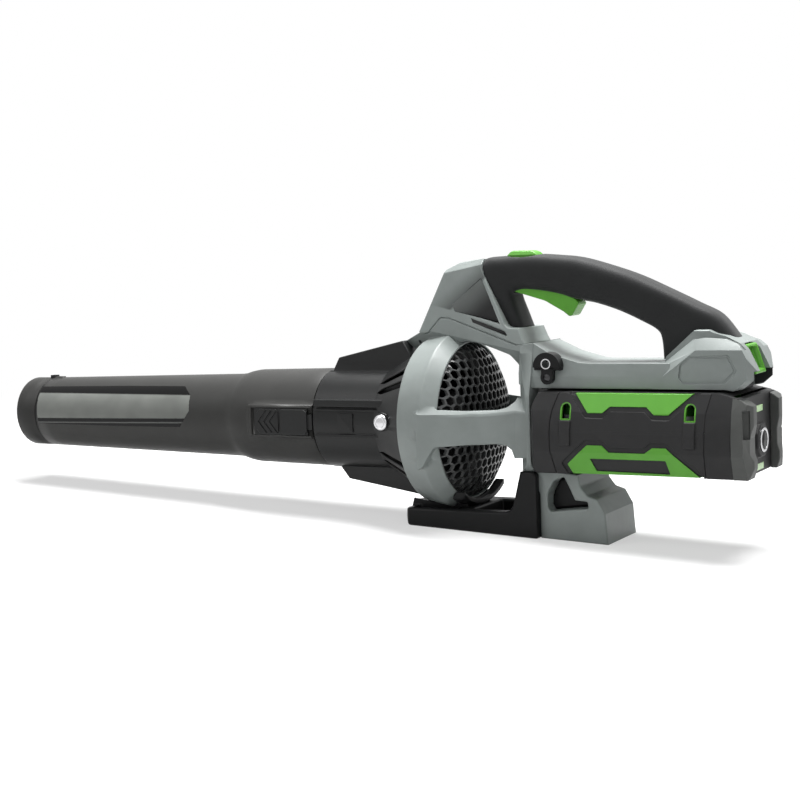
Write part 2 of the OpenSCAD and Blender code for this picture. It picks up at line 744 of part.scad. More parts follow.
module base_stand() color([0.12, 0.12, 0.12])
    on_floor() difference() {
        union() {
            // two rails that rise into the upright under the wall
            intersection() {
                side_slab([[-18, -130], [-20, -104.5], [-27, -99.5], [-25, -94], [-19, -87.5], [-8, -85.5],
                           [96, -85.5], [101.5, -83.5], [105, -79], [107, -72], [114, wall_low], [wall_back + 2, wall_low],
                           [wall_back + 4, wall_low - 2], [wall_back + 4, -130]], 45);
                plan_slab([[-27, -22], [-13, -45], [wall_back + 4, -45], [wall_back + 4, 45], [-13, 45],
                           [-27, 22]], -140, -20);
            }
            // neck under the ring's front
            side_slab([[-22, -110], [-19, -88], [-15, -74], [-8, -66], [46, -66], [46, -110]], 25);
            // cradle round the ring's rear lip
            intersection() {
                turned([[lip_r + 1.4, ring_len], [ring_r - 3, 38], [ring_r - 3, 48], [ring_r - 6, 53],
                        [lip_r + 1.4, 53]]);
                block([36, -44, -100], [60, 44, -56]);
            }
            tongue();
        }
        ring_solid();
        rod(lip_r + 0.5, ring_len - 1, ring_len + dome_depth);
        leg();
        turned([[0, -30], [flare_r + 4, -30], [flare_r + 9, 0.01], [0, 0.01]]);
        // trough between the two rails
        block([56, -31, -101], [wall_front - 4, 31, -30]);
        // hollows between the neck and the rails
        both_sides() block([-8, -38, -97], [36, -25, -60]);
    }

// ---------------------------------------------------------------- handle

module handle_core_outline(inset)
    polygon(concat([for (s = GRIP) toward(s[0], s[1], inset)],
                   reversed([for (s = GRIP) toward(s[1], s[0], inset)])));

module handle_core()
    rotate([90, 0, 0]) translate([0, 0, -core_half]) linear_extrude(2 * core_half)
        handle_core_outline(grip_skin);

// Shell between the barrel and the grip, with a chamfer along its crown
module shell_solid()
    intersection() {
        side_slab(SHELL, 34);
        side_walls();
        between_walls([43, 152.8], 16, 0.25, -1);
    }

module trigger_room(gap) {
    // swept room of the trigger inside the handle
    side_slab([[92, 147], [92, 131], [98, 127.6], [122, 119.6], [150, 96], [172, 100], [172, 133],
               [166, 142], [128, 147]], trigger_half + gap);
    cross_rod(6.5, pivot, -trigger_half - gap, trigger_half + gap);
}

module boost_room(gap)
    block([boost_x[0] - gap, -boost_half - gap, boost_floor], [boost_x[1] + gap, boost_half + gap, 180]);

module handle_shells()
    difference() {
        union() {
            shell_solid();
            handle_core();
        }
        // inside of the shell
        intersection() {
            side_slab([[2, 94], [17, 109], [31, 109], [90, 88.5], [66, 138], [60, 156], [40, 155],
                       [27, 148.5]], 30);
            between_walls([0, 81], 15, 0.1, -0.116);
        }
        // inside of the handle's core
        rotate([90, 0, 0]) translate([0, 0, -core_half + core_wall])
            linear_extrude(2 * (core_half - core_wall)) handle_core_inside();
        trigger_room(run_gap);
        boost_room(run_gap);
        cross_rod(pin_r, pivot, -40, 40);
        // side insert's pocket and the slot under it
        scoop_room();
        both_sides() side_plate(SLOT, -40, -24);
        housing_screw_holes(2, 4.5);
    }

// Scooped pockets in the shell's sides, deepest at the rib in front of the grip
module scoop_wall(depth) between_walls([36, 114], 19.8 - depth, -0.02, -0.02);
module scoop_room()
    difference() {
        side_slab(SCOOP, 40);
        scoop_wall(insert_t);
    }

// Room inside the core, closed at both ends
function core_inside_list(d) = [for (i = [1:len(GRIP) - 2]) toward(GRIP[i][0], GRIP[i][1], d)];
module handle_core_inside()
    polygon(concat(core_inside_list(grip_skin + core_wall),
        reversed([for (i = [1:len(GRIP) - 2])
            toward(GRIP[i][1], GRIP[i][0], grip_skin + core_wall)])));

module handle_shell_left() color([0.55, 0.58, 0.57]) body_stand() half_of(-1) handle_shells();
module handle_shell_right() color([0.55, 0.58, 0.57]) body_stand() half_of(1) handle_shells();

module side_inserts() color([0.14, 0.14, 0.14])
    body_stand() intersection() {
        side_slab(SCOOP, 40);
        difference() {
            scoop_wall(0);
            scoop_wall(insert_t);
        }
    }

// Rounded section of the grip between two partner points: the smaller its power, the squarer
function grip_ring(s, half, power) =
    let (mid = (s[0] + s[1]) / 2, reach = norm(s[0] - s[1]) / 2, dir = (s[0] - s[1]) / (2 * reach))
    [for (k = [0:19])
        let (a = k * 18 + 9, c = cos(a), n = sin(a),
             u = reach * sign(c) * pow(abs(c), power), v = half * sign(n) * pow(abs(n), power))
        [mid[0] + dir[0] * u, v, mid[1] + dir[1] * u]];

module grip_solid() {
    last = len(GRIP) - 1;
    rings = [for (i = [0:last])
        grip_ring(GRIP[i], grip_half, i < last - 3 ? min(0.62, 0.38 + 0.06 * i) : 0.5)];
    sides = len(rings[0]);
    polyhedron(
        points = [for (r = rings) each r],
        faces = concat(
            [[for (k = [sides - 1:-1:0]) k]],
            [[for (k = [0:sides - 1]) last * sides + k]],
            [for (i = [0:last - 1], k = [0:sides - 1])
                let (a = i * sides + k, b = i * sides + (k + 1) % sides)
                each [[a, b, a + sides], [b, b + sides, a + sides]]]
        ));
}

module grip() color([0.13, 0.14, 0.14])
    body_stand() difference() {
        grip_solid();
        handle_core();
        side_slab(SHELL, 34);
        bulge();
        beam();
        trigger_room(run_gap);
        boost_room(run_gap);
        cross_rod(pin_r, pivot, -core_half, core_half);
        // dip of the top round the boost button
        cross_rod(scoop_r, [(boost_x[0] + boost_x[1]) / 2, 162.5 + scoop_r], -30, 30);
    }

module trigger() color([0.3, 0.62, 0.2])
    body_stand() difference() {
        union() {
            side_slab([[95, 132], [99, 129], [130, 119.8], [150, 108.6], [156, 103.8], [159, 104.8],
                       [166.5, 116.5], [163, 121], [125, 136], [103, 139], [96, 138]], trigger_half);
            cross_rod(5.6, pivot, -trigger_half, trigger_half);
        }
        cross_rod(pin_r + bore_gap, pivot, -20, 20);
        // spring's seat
        block([90, -4.4, 129], [106, 4.4, 146]);
    }

module trigger_pin() color("silver") body_stand() cross_rod(pin_r, pivot, -core_half, core_half);

module trigger_spring() color([0.6, 0.62, 0.64])
    body_stand() for (i = [0:4])
        translate([pivot[0], -3.2 + 1.6 * i, pivot[1]]) rotate([90, 0, 0])
            rotate_extrude($fn = 32) translate([3.1, 0]) circle(r = 0.7, $fn = 16);

module main_switch() color([0.1, 0.1, 0.1])
    body_stand() side_slab([[132, 146.5], [134, 156], [164, 152], [172, 146], [172, 141.5], [150, 145]],
                           core_half - core_wall);

module boost_button() color([0.35, 0.75, 0.25])
    body_stand() {
        intersection() {
            side_slab([[boost_x[0], boost_z], [boost_x[0], 165], [boost_x[0] + 3, 168.6],
                       [boost_x[0] + 6, 169.4], [boost_x[1] - 6, 169], [boost_x[1] - 2, 167.4],
                       [boost_x[1], 164.5], [boost_x[1], boost_z]], boost_half);
            cross_slab(mirrored([[boost_half, 140], [boost_half, 165], [boost_half - 2.4, 170]]), 80, 140);
        }
        // flanges that hold it under the skin
        block([boost_x[0] - 4, -boost_half + 1, 154.4], [boost_x[1] + 4, boost_half - 1, 156.4]);
    }

module boost_switch() color([0.1, 0.1, 0.1])
    body_stand() block([98, -core_half + core_wall, 143], [118, core_half - core_wall, boost_floor]);

// ---------------------------------------------------------------- strap lug

module strap_lug() color([0.08, 0.08, 0.08])
    body_stand() difference() {
        union() {
            intersection() {
                cross_rod(14, lug_at - [0, 3], -46, -33);
                block([120, -50, 57], [170, -20, 80]);
            }
            side_plate([[132, 58], [132, 54], [160, 54], [160, 58]], -43, -33);
            side_plate([[140, 56], [140, 47], [152, 47], [152, 56]], -44, -33);
            cross_rod(6.5, lug_screw_at, -44, -37);
        }
        beam();
        spine();
        cross_rod(eyelet_r - 0.4, lug_at, -50, -30);
        cross_rod(2, lug_screw_at, -50, -30);
        cross_rod(3.8, lug_screw_at, -50, -42);
    }

module lug_eyelet() color("silver")
    body_stand() difference() {
        union() {
            cross_rod(eyelet_r - 0.4, lug_at, -46.5, -36.6);
            cross_rod(eyelet_r, lug_at, -46.6, -46);
        }
        cross_rod(4, lug_at, -50, -30);
    }

module lug_screw() color([0.3, 0.3, 0.3])
    body_stand() {
        cross_rod(2, lug_screw_at, -42, -rail_head - 2.5);
        cross_rod(3.6, lug_screw_at, -43.6, -42);
    }

// ---------------------------------------------------------------- electronics

module controller_board() color([0.1, 0.35, 0.2])
    body_stand() {
        block([146, -23, 52.2], [242, 23, 53.8]);
        // posts that it sits on
        for (x = [150, 238], y = [-19, 19]) translate([x, y, 50.6]) cylinder(r = 2.5, h = 1.6);
    }

module board_capacitors() color([0.12, 0.12, 0.3])
    body_stand() for (x = [160, 172, 184], y = [-14, 14])
        translate([x, y, 53.8]) cylinder(r = 4.5, h = 3.6);

module terminal_block() color([0.1, 0.1, 0.1])
    body_stand() difference() {
        block([116, -24, 40.6], [wall_back, 24, rail_top + run_gap]);
        for (y = blade_y) block([118, y - 0.5, 43], [wall_back + 1, y + 0.5, 47]);
    }

module terminal_blades() color([0.85, 0.7, 0.35])
    body_stand() for (y = blade_y) block([118, y - 0.5, 43], [pack_x + 18, y + 0.5, 47]);

// ---------------------------------------------------------------- battery release

module battery_release() color([0.3, 0.62, 0.2])
    body_stand() difference() {
        union() {
            side_slab([[pack_end - 26, 74], [pack_end - 20, 76.5], [pack_end - 14.5, 76],
                       [pack_end - 5.5, 49], [pack_end - 9, 48.6], [pack_end - 14, 52.5],
                       [pack_end - 24, 70]], release_half);
            side_slab([[pack_end - 48, 65], [pack_end - 20, 71], [pack_end - 12, 66], [pack_end - 10, 57],
                       [pack_end - 24, 57], [pack_end - 40, 57], [pack_end - 42, 48.8],
                       [pack_end - 46, 48.8], [pack_end - 49, 60]], 11);
        }
        cross_rod(pin_r + bore_gap, release_pivot, -30, 30);
        // finger scoop
        side_slab([[pack_end - 19, 72.5], [pack_end - 8, 74.5], [pack_end, 52],
                   [pack_end - 12.5, 53]], release_half - 3);
    }

module release_pin() color("silver") body_stand() cross_rod(pin_r, release_pivot, -19, 19);

// ---------------------------------------------------------------- battery pack

function pack_section(inset) = mirrored([
    [pack_half - 11 - inset * 0.9, pack_top - inset], [pack_half - 4 - inset, 16],
    [pack_half - inset, -4], [pack_half - inset, -22],
    [pack_half - 7 - inset * 0.9, -pack_drop + inset]
]);

// Stretch of the pack's skin between two depths
module pack_skin(outer, inner, x0, x1)
    difference() {
        cross_slab(pack_section(outer), x0, x1);
        cross_slab(pack_section(inner), x0 - 1, x1 + 1);
    }

module on_field(points)
    translate([pack_mid, 0, 0]) both_sides() side_plate(points, -pack_half - 2, -pack_half + 18);

// Stretch of the shells between their two seams
module between_seams()
    difference() {
        side_slab(past(FRONT_LINE), 100);
        side_slab(past(REAR_LINE), 100);
    }

module inlay_room(depth, spread)
    intersection() {
        pack_skin(-2, depth, pack_x + 30, pack_end - 45);
        union() {
            on_field(grown(UPPER_FIELD, spread));
            on_field(grown(LOWER_FIELD, spread));
        }
    }

// Straps that join the shells under the vents
module strap_blocks()
    for (x = vent_x) block([pack_mid + x - 5.5, -80, -16], [pack_mid + x + 5.5, 80, 8]);

module vent_shape(r)
    union() {
        translate([0, 19.5]) circle(r = r, $fn = 32);
        translate([-r, 13.5 - r]) square([2 * r, r + 6]);
    }

module vent_holes(r, y0, y1)
    for (x = vent_x) translate([pack_mid + x, 0, 0]) both_sides()
        translate([0, y1, 0]) rotate([90, 0, 0]) linear_extrude(y1 - y0) vent_shape(r);

module pack_shell_upper() color([0.2, 0.2, 0.2])
    body_stand() difference() {
        union() {
            intersection() {
                pack_skin(0, pack_wall, pack_x + 20, pack_end - 30);
                between_seams();
                block([pack_x, -80, part_z], [pack_end, 80, 60]);
            }
            // rail with its notch for the release hook
            block([pack_x + 1, -rail_neck, pack_top], [pack_end - 20, rail_neck, rail_lip + 1]);
            difference() {
                block([pack_x + 1, -rail_head, rail_lip], [pack_end - 20, rail_head, rail_top]);
                block([pack_end - 48, -12, rail_top - 4], [pack_end - 39, 12, rail_top + 1]);
                for (y = blade_y)
                    block([pack_x, y - 1.1, 42.4], [pack_x + 19.5, y + 1.1, 47.6]);
            }
            // straps under the vents
            intersection() {
                pack_skin(-2, 0.5, pack_x + 20, pack_end - 30);
                strap_blocks();
            }
        }
        inlay_room(inlay_floor, border);
        vent_holes(5.5, -pack_half - 3, -pack_half + 10);
    }

module pack_shell_lower() color([0.17, 0.17, 0.17])
    body_stand() difference() {
        intersection() {
            pack_skin(0, pack_wall, pack_x + 20, pack_end - 30);
            between_seams();
            block([pack_x, -80, -80], [pack_end, 80, part_z]);
        }
        inlay_room(inlay_floor, border);
        // laps under the straps
        intersection() {
            pack_skin(-3, 0.5, pack_x + 20, pack_end - 30);
            strap_blocks();
        }
    }

module cap_plan(x0, x1, nose)
    plan_slab([[x0, -pack_half + 12], [x0 + nose, -pack_half - 1], [x1, -pack_half - 1],
               [x1, pack_half + 1], [x0 + nose, pack_half + 1], [x0, pack_half - 12]], -70, 60);

module pack_front_cap() color([0.17, 0.17, 0.17])
    body_stand() difference() {
        intersection() {
            cross_slab(pack_section(0), pack_x, pack_x + 40);
            cap_plan(pack_x, pack_x + 41, 9);
            side_slab(shifted([[10, pack_top], [6, 25], [3, 6], [0, -2], [0, -21], [3, -37], [7, -pack_drop],
                               [45, -pack_drop], [45, pack_top]], [pack_x, 0]), 80);
        }
        cross_slab(pack_section(pack_wall), pack_x + pack_wall + 8, pack_x + 41);
        side_slab(past(FRONT_LINE), 100);
    }

module pack_rear_cap() color([0.17, 0.17, 0.17])
    body_stand() difference() {
        union() {
            intersection() {
                cross_slab(pack_section(0), pack_end - 50, cap_end);
                side_slab(past(REAR_LINE), 100);
                mirror([1, 0, 0]) cap_plan(-cap_end, 50 - pack_end, 9);
            }
            // eight-sided boss of the gauge
            translate([cap_end, 0, gauge_z]) rotate([0, 90, 0]) rotate([0, 0, 22.5])
                cylinder(r = 17, h = 4, $fn = 8);
        }
        cross_slab(pack_section(pack_wall), pack_end - 51, cap_end - pack_wall - 3);
        // slope of the top's end
        side_slab([[pack_end - 30, pack_top + 1], [pack_end - 30, pack_top], [cap_end, pack_top - 5],
                   [cap_end + 9, pack_top - 5], [cap_end + 9, pack_top + 1]], pack_half);
        translate([cap_end, 0, gauge_z]) rod(11.5, -2, 5);
        gauge_window_shapes(0);
    }

module gauge_window_shapes(gap)
    for (z = [gauge_z - 25, gauge_z + 29])
        translate([0, 0, z]) block([cap_end - 1.5, -11, -3], [cap_end + 0.4, 11, 3]);

module gauge_windows() color([0.55, 0.8, 0.5])
    body_stand() gauge_window_shapes(0);

module pack_inlays() color([0.35, 0.68, 0.2])
    body_stand() difference() {
        intersection() {
            inlay_room(inlay_floor, 0);
            pack_skin(inlay_top, inlay_floor, pack_x + 20, pack_end - 30);
        }
        on_field(FIELD_GAP);
    }

module pack_vent_liners() color([0.35, 0.68, 0.2])
    body_stand() intersection() {
        difference() {
            vent_holes(5.5, -pack_half - 1, -pack_half + 10);
            vent_holes(4.2, -pack_half - 2, -pack_half + 11);
        }
        pack_skin(0.4, pack_wall, pack_x + 20, pack_end - 30);
    }

module pack_cells() color([0.25, 0.45, 0.75])
    body_stand() for (col = [-3:3], row = [-1.5:1:1.5])
        translate([pack_mid + col * 22, row * 22, -pack_drop + pack_wall + 1])
            cylinder(r = cell_r, h = min(cell_len, pack_top + pack_drop - 2 * pack_wall - 1.5));

// Thick ribs round the rear corners, each with a slot in its slanted face
module pack_bumpers() color([0.15, 0.15, 0.15])
    body_stand() translate([pack_end, 0, 0]) both_sides() difference() {
        intersection() {
            side_plate([[-17, 30], [-10, 28.5], [-5, 26], [2, 21], [2, 14.5], [-2.2, -6], [-2.2, -21],
                        [1, -foot_of_rib], [-1, -38], [-3, -pack_drop], [-17, -pack_drop]],
                       -pack_half - 1, -34);
            plan_slab([[-18, -pack_half - 1], [-6, -pack_half - 1], [0, -44], [0, -34], [-18, -34]], -70, 60);
            cross_slab(pack_section(-0.8), -18, 3);
        }
        intersection() {
            cross_slab(pack_section(0), -20, cap_end - pack_end);
            mirror([1, 0, 0]) cap_plan(pack_end - cap_end, 30, 9);
        }
        // hand slot
        translate([-5, -51, 0]) rotate([0, 0, 22])
            block([-3.5, -20, -7], [3.5, 3, 19]);
    }

module gauge_ring() color("silver")
    body_stand() translate([cap_end, 0, gauge_z]) difference() {
        rod(11.5, -2, 5.4);
        rod(9, -3, 6);
    }

module gauge_button() color([0.1, 0.1, 0.1])
    body_stand() translate([cap_end, 0, gauge_z]) rod(9 - run_gap, 0, 5);

// ---------------------------------------------------------------- assembly

nozzle_ring();
blow_tube();
tube_latch();
outlet_duct();
barrel_screws();
fan_shroud();
tail_cone();
motor_housing();
motor_stator();
motor_end_plate();
motor_bearings();
motor_rotor();
fan();
fan_nut();
housing_left();
housing_right();
intake_grille();
base_stand();
housing_screws();
handle_shell_left();
handle_shell_right();
side_inserts();
grip();
trigger();
trigger_pin();
trigger_spring();
main_switch();
boost_button();
boost_switch();
strap_lug();
lug_eyelet();
lug_screw();
controller_board();
board_capacitors();
terminal_block();
terminal_blades();
battery_release();
release_pin();
pack_shell_upper();
pack_shell_lower();
pack_front_cap();
pack_rear_cap();
pack_inlays();
pack_vent_liners();
pack_cells();
pack_bumpers();
gauge_windows();
gauge_ring();
gauge_button();
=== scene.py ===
# %% [markdown]
# # A cordless leaf blower, finished piece by piece
#
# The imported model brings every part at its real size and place. This lesson gives each part its
# surface: moulded shells with rounded edges, a soft grip, a honeycomb grille, a gloss panel and bright
# metal. A part keeps its place throughout, so that the machine still moves as it should.

# %% Load the frame
import json
import math

import bmesh
import bpy
from mathutils import Matrix, Vector
from mathutils.bvhtree import BVHTree

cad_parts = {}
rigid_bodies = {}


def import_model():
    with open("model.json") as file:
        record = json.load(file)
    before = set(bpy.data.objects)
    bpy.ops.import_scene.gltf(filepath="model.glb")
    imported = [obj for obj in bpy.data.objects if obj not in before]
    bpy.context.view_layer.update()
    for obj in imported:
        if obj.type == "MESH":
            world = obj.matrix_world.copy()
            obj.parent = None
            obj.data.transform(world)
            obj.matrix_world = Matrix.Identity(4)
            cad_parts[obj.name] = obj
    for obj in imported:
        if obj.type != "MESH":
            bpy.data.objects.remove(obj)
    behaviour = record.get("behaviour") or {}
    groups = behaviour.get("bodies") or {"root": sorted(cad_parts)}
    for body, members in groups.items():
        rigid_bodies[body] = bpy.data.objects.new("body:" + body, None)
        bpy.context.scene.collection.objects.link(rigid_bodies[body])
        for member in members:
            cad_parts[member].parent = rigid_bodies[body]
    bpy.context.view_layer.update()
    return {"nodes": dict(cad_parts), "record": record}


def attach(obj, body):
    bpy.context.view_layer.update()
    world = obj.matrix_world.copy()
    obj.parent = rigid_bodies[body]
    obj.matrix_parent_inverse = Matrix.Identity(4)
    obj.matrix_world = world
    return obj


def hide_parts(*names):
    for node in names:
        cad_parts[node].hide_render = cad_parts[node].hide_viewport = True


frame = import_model()
MM = 0.001
body_of_node = {n: b for b, nodes in frame["record"]["behaviour"]["bodies"].items() for n in nodes}
slot_of_node = {s["node"]: s["material_slot"] for s in frame["record"]["subparts"]}

# %% [markdown]
# ## Light, floor and camera
#
# A product picture of a dark tool needs big soft lamps: a key from the front left, a weaker fill, and a
# strip above that draws a highlight along round parts. The paper behind and below is plain white to the
# eye. It gets that from its own glow on camera rays, so no lamp has to be strong enough to bleach the
# grey shells, and the floor still keeps the machine's soft shadow.

# %% Shader trees as plain arithmetic
class Sock:
    """An output of a node tree that takes part in sums and products."""

    def __init__(self, owner, socket):
        self.owner, self.socket = owner, socket

    def join(self, operation, *others):
        """This value, alone or with others, after one step of arithmetic."""
        return self.owner.maths(operation, self, *others)

    def __add__(self, other):
        return self.join("ADD", other)

    __radd__ = __add__

    def __sub__(self, other):
        return self.join("SUBTRACT", other)

    def __rsub__(self, other):
        return self.owner.maths("SUBTRACT", other, self)

    def __mul__(self, other):
        return self.join("MULTIPLY", other)

    __rmul__ = __mul__

    def above(self, edge, blur):
        """0 below an edge and 1 above it, with a soft change between."""
        return self.owner.add("ShaderNodeMapRange", {"interpolation_type": "SMOOTHSTEP"}, {
            0: self, "From Min": edge - blur, "From Max": edge + blur})


class Tree:
    """A node tree that grows one node at a time."""

    def feed(self, socket, value):
        if isinstance(value, Sock):
            self.tree.links.new(value.socket, socket)
        elif socket.type == "RGBA" and len(value) == 3:
            socket.default_value = (*value, 1)
        else:
            socket.default_value = value

    def add(self, kind, settings=None, inputs=None, out=0):
        node = self.tree.nodes.new(kind)
        for key, value in (settings or {}).items():
            setattr(node, key, value)
        for key, value in (inputs or {}).items():
            self.feed(node.inputs[key], value)
        return Sock(self, node.outputs[out])

    def maths(self, operation, *values):
        return self.add("ShaderNodeMath", {"operation": operation}, dict(enumerate(values)))

    def mix(self, mask, low, high):
        """One colour where the mask is 0, another where it is 1."""
        return self.add("ShaderNodeMix", {"data_type": "RGBA"}, {0: mask, 6: low, 7: high}, 2)


# %% Background and floor
scene = bpy.context.scene
scene.view_settings.view_transform = "Standard"
WHITE = (1, 1, 1)
PAPER = (0.45, 0.45, 0.45)
AIR = 0.26
FLOOR_SIZE = 12
NEAR_GLOW, FAR_GLOW = 0.5, 1.0
NEAR_ENDS, NEAR_BLUR = 0.9, 0.35


class Studio(Tree):
    """The tree of the world or of the paper."""

    def __init__(self, tree, output):
        self.tree = tree
        tree.nodes.clear()
        self.output = tree.nodes.new(output)

    def seen(self):
        """1 on rays that show the paper itself: from the camera, in metal and through glass."""
        path = self.tree.nodes.new("ShaderNodeLightPath")
        camera, glossy, through = (
            Sock(self, path.outputs[f"Is {kind} Ray"]) for kind in ("Camera", "Glossy", "Transmission"))
        return (camera + glossy + through).join("MINIMUM", 1)

    def matt(self):
        return self.add("ShaderNodeBsdfDiffuse", None, {"Color": PAPER})

    def glow(self, strength, kind="ShaderNodeEmission"):
        return self.add(kind, None, {"Color": WHITE, "Strength": strength})

    def close(self, shader):
        self.feed(self.output.inputs["Surface"], shader)


world = bpy.data.worlds.new("studio")
scene.world = world
world.use_nodes = True
air = Studio(world.node_tree, "ShaderNodeOutputWorld")
air.close(air.add("ShaderNodeMixShader", None, {
    0: air.seen(), 1: air.glow(AIR, "ShaderNodeBackground"), 2: air.glow(1.0, "ShaderNodeBackground")}))

bpy.ops.mesh.primitive_plane_add(size=FLOOR_SIZE)
floor = bpy.context.object
floor.name = "floor"
paper = bpy.data.materials.new("paper")
paper.use_nodes = True
sheet = Studio(paper.node_tree, "ShaderNodeOutputMaterial")
spot = sheet.add("ShaderNodeTexCoord", None, None, 3)
reach = sheet.add("ShaderNodeVectorMath", {"operation": "LENGTH"}, {0: spot}, 1)
by_machine = sheet.add("ShaderNodeAddShader", None, {
    0: sheet.matt(), 1: sheet.glow(NEAR_GLOW * sheet.seen())})
far_off = sheet.add("ShaderNodeMixShader", None, {
    0: sheet.seen(), 1: sheet.matt(), 2: sheet.glow(FAR_GLOW)})
sheet.close(sheet.add("ShaderNodeMixShader", None, {
    0: reach.above(NEAR_ENDS, NEAR_BLUR), 1: by_machine, 2: far_off}))
floor.data.materials.append(paper)
print("floor", FLOOR_SIZE, "m wide, air", AIR)


# %% Lamps and camera
def aim(obj, place, target):
    """Puts an object at a place and points its -Z at a target."""
    obj.location = place
    obj.rotation_mode = "QUATERNION"
    obj.rotation_quaternion = (Vector(target) - Vector(place)).to_track_quat("-Z", "Y")


def lamp(name, place, target, width, depth, watts):
    data = bpy.data.lights.new(name, "AREA")
    data.shape, data.size, data.size_y, data.energy = "RECTANGLE", width, depth, watts
    obj = bpy.data.objects.new(name, data)
    scene.collection.objects.link(obj)
    aim(obj, place, target)


lamp("key", place=(-1.1, -1.5, 1.7), target=(0, 0, 0.12), width=1.2, depth=1.2, watts=13)
lamp("fill", place=(1.6, -1.3, 0.9), target=(0.1, 0, 0.12), width=1.0, depth=1.0, watts=4)
lamp("top", place=(0.1, 0.35, 1.9), target=(0, 0, 0.1), width=1.7, depth=0.9, watts=105)

FILM = 36
CAMERA = {"azimuth": 29.74, "elevation": 6.69, "distance": 1.6679,
          "target": (0.05306, 0, 0.1214), "lens": 72.05}


def add_camera(azimuth, elevation, distance, target, lens):
    a, e = math.radians(azimuth), math.radians(elevation)
    back = Vector((math.sin(a) * math.cos(e), -math.cos(a) * math.cos(e), math.sin(e)))
    data = bpy.data.cameras.new("camera")
    data.sensor_width, data.lens = FILM, lens
    obj = bpy.data.objects.new("camera", data)
    scene.collection.objects.link(obj)
    aim(obj, Vector(target) + back * distance, target)
    scene.camera = obj


add_camera(**CAMERA)

# %% [markdown]
# ## The machine's own directions
#
# The machine stands nose down by a few degrees, so nothing on it is level. Sizes are easier to think of
# along the air axis. One matrix turns a place that is given along that axis into a place in the room.
# It is counted in millimetres from the front edge of the fan ring, which is RING from the tube's tip.

# %% Places along the air axis
TILT = math.radians(2.6)
RING = 541
MIDDLE = 443.843
AXIS_HEIGHT = 79.959
STANCE = (Matrix.Translation((-MIDDLE * MM, 0, AXIS_HEIGHT * MM)) @ Matrix.Rotation(-TILT, 4, "Y")
          @ Matrix.Translation((RING * MM, 0, 0)))
BACK = STANCE.inverted()
joints = {j["name"]: j for j in frame["record"]["behaviour"]["joints"]}
pivot = Vector(joints["trigger_squeeze"]["pos_m"])
print("trigger's pivot along the axis, mm", [round(v / MM, 2) for v in BACK @ pivot])


# %% [markdown]
# ## Finishes
#
# Every finish starts as one Principled shader. What is the same all over, such as the index of
# refraction, is set on the shader itself. What changes over the surface is built from noise in the
# piece's
# own coordinates: a slow mottle in the colour, a fine grain in the surface and a drift in its gloss.

# %% A finish
class Finish(Tree):
    """A material with one Principled shader."""

    def __init__(self, name, **constants):
        self.material = bpy.data.materials.new(name)
        self.material.use_nodes = True
        self.tree = self.material.node_tree
        self.shader = self.tree.nodes["Principled BSDF"]
        self.put(**constants)

    def put(self, **values):
        for key, value in values.items():
            self.feed(self.shader.inputs[key.replace("_", " ")], value)

    def place(self, scale=(1, 1, 1), turn=(0, 0, 0)):
        spot = self.add("ShaderNodeTexCoord", None, None, 3)
        return self.add("ShaderNodeMapping", None, {"Vector": spot, "Scale": scale, "Rotation": turn})

    def noise(self, scale, detail=3.0, stretch=(1, 1, 1)):
        return self.add("ShaderNodeTexNoise", None, {
            "Vector": self.place(stretch, (0, TILT, 0)), "Scale": scale, "Detail": detail,
            "Roughness": 0.6})

    def way(self, k):
        """Millimetres from the fan ring's front: along the air axis (0), across (1) or up (2)."""
        spot = self.add("ShaderNodeTexCoord", None, None, 3)
        metres = self.add("ShaderNodeVectorMath", {"operation": "DOT_PRODUCT"}, {
            0: spot, 1: tuple(BACK[k][:3])}, 1)
        return metres * (1 / MM) + BACK[k][3] / MM

    def along(self):
        return self.way(0)

    def beside(self):
        """The distance across, the same on both sides."""
        return self.way(1).join("ABSOLUTE")

    def up(self):
        return self.way(2)

    def mottle(self, colour, share=0.06, scale=35):
        """The colour, a little darker and lighter in slow patches."""
        darker, lighter = (tuple(c * k for c in colour) for k in (1 - share, 1 + share))
        return self.mix(self.noise(scale).above(0.5, 0.25), darker, lighter)

    def bump(self, height, depth):
        return self.add("ShaderNodeBump", None, {"Height": height, "Distance": depth, "Strength": 1.0})

    def rough(self, middle, swing, scale=60):
        return self.noise(scale, 2.0) * (2 * swing) + (middle - swing)


# %% Moulded plastics
def moulded(name, colour, gloss, shine=0.5, grain=0.00003, share=0.06, grain_scale=2400):
    """Satin plastic from a spark-eroded mould: fine even grain, slow mottle, uneven gloss."""
    finish = Finish(name, IOR=1.5, Specular_IOR_Level=shine)
    finish.put(Base_Color=finish.mottle(colour, share), Roughness=finish.rough(gloss, 0.05),
               Normal=finish.bump(finish.noise(grain_scale, 1.0), grain))
    return finish


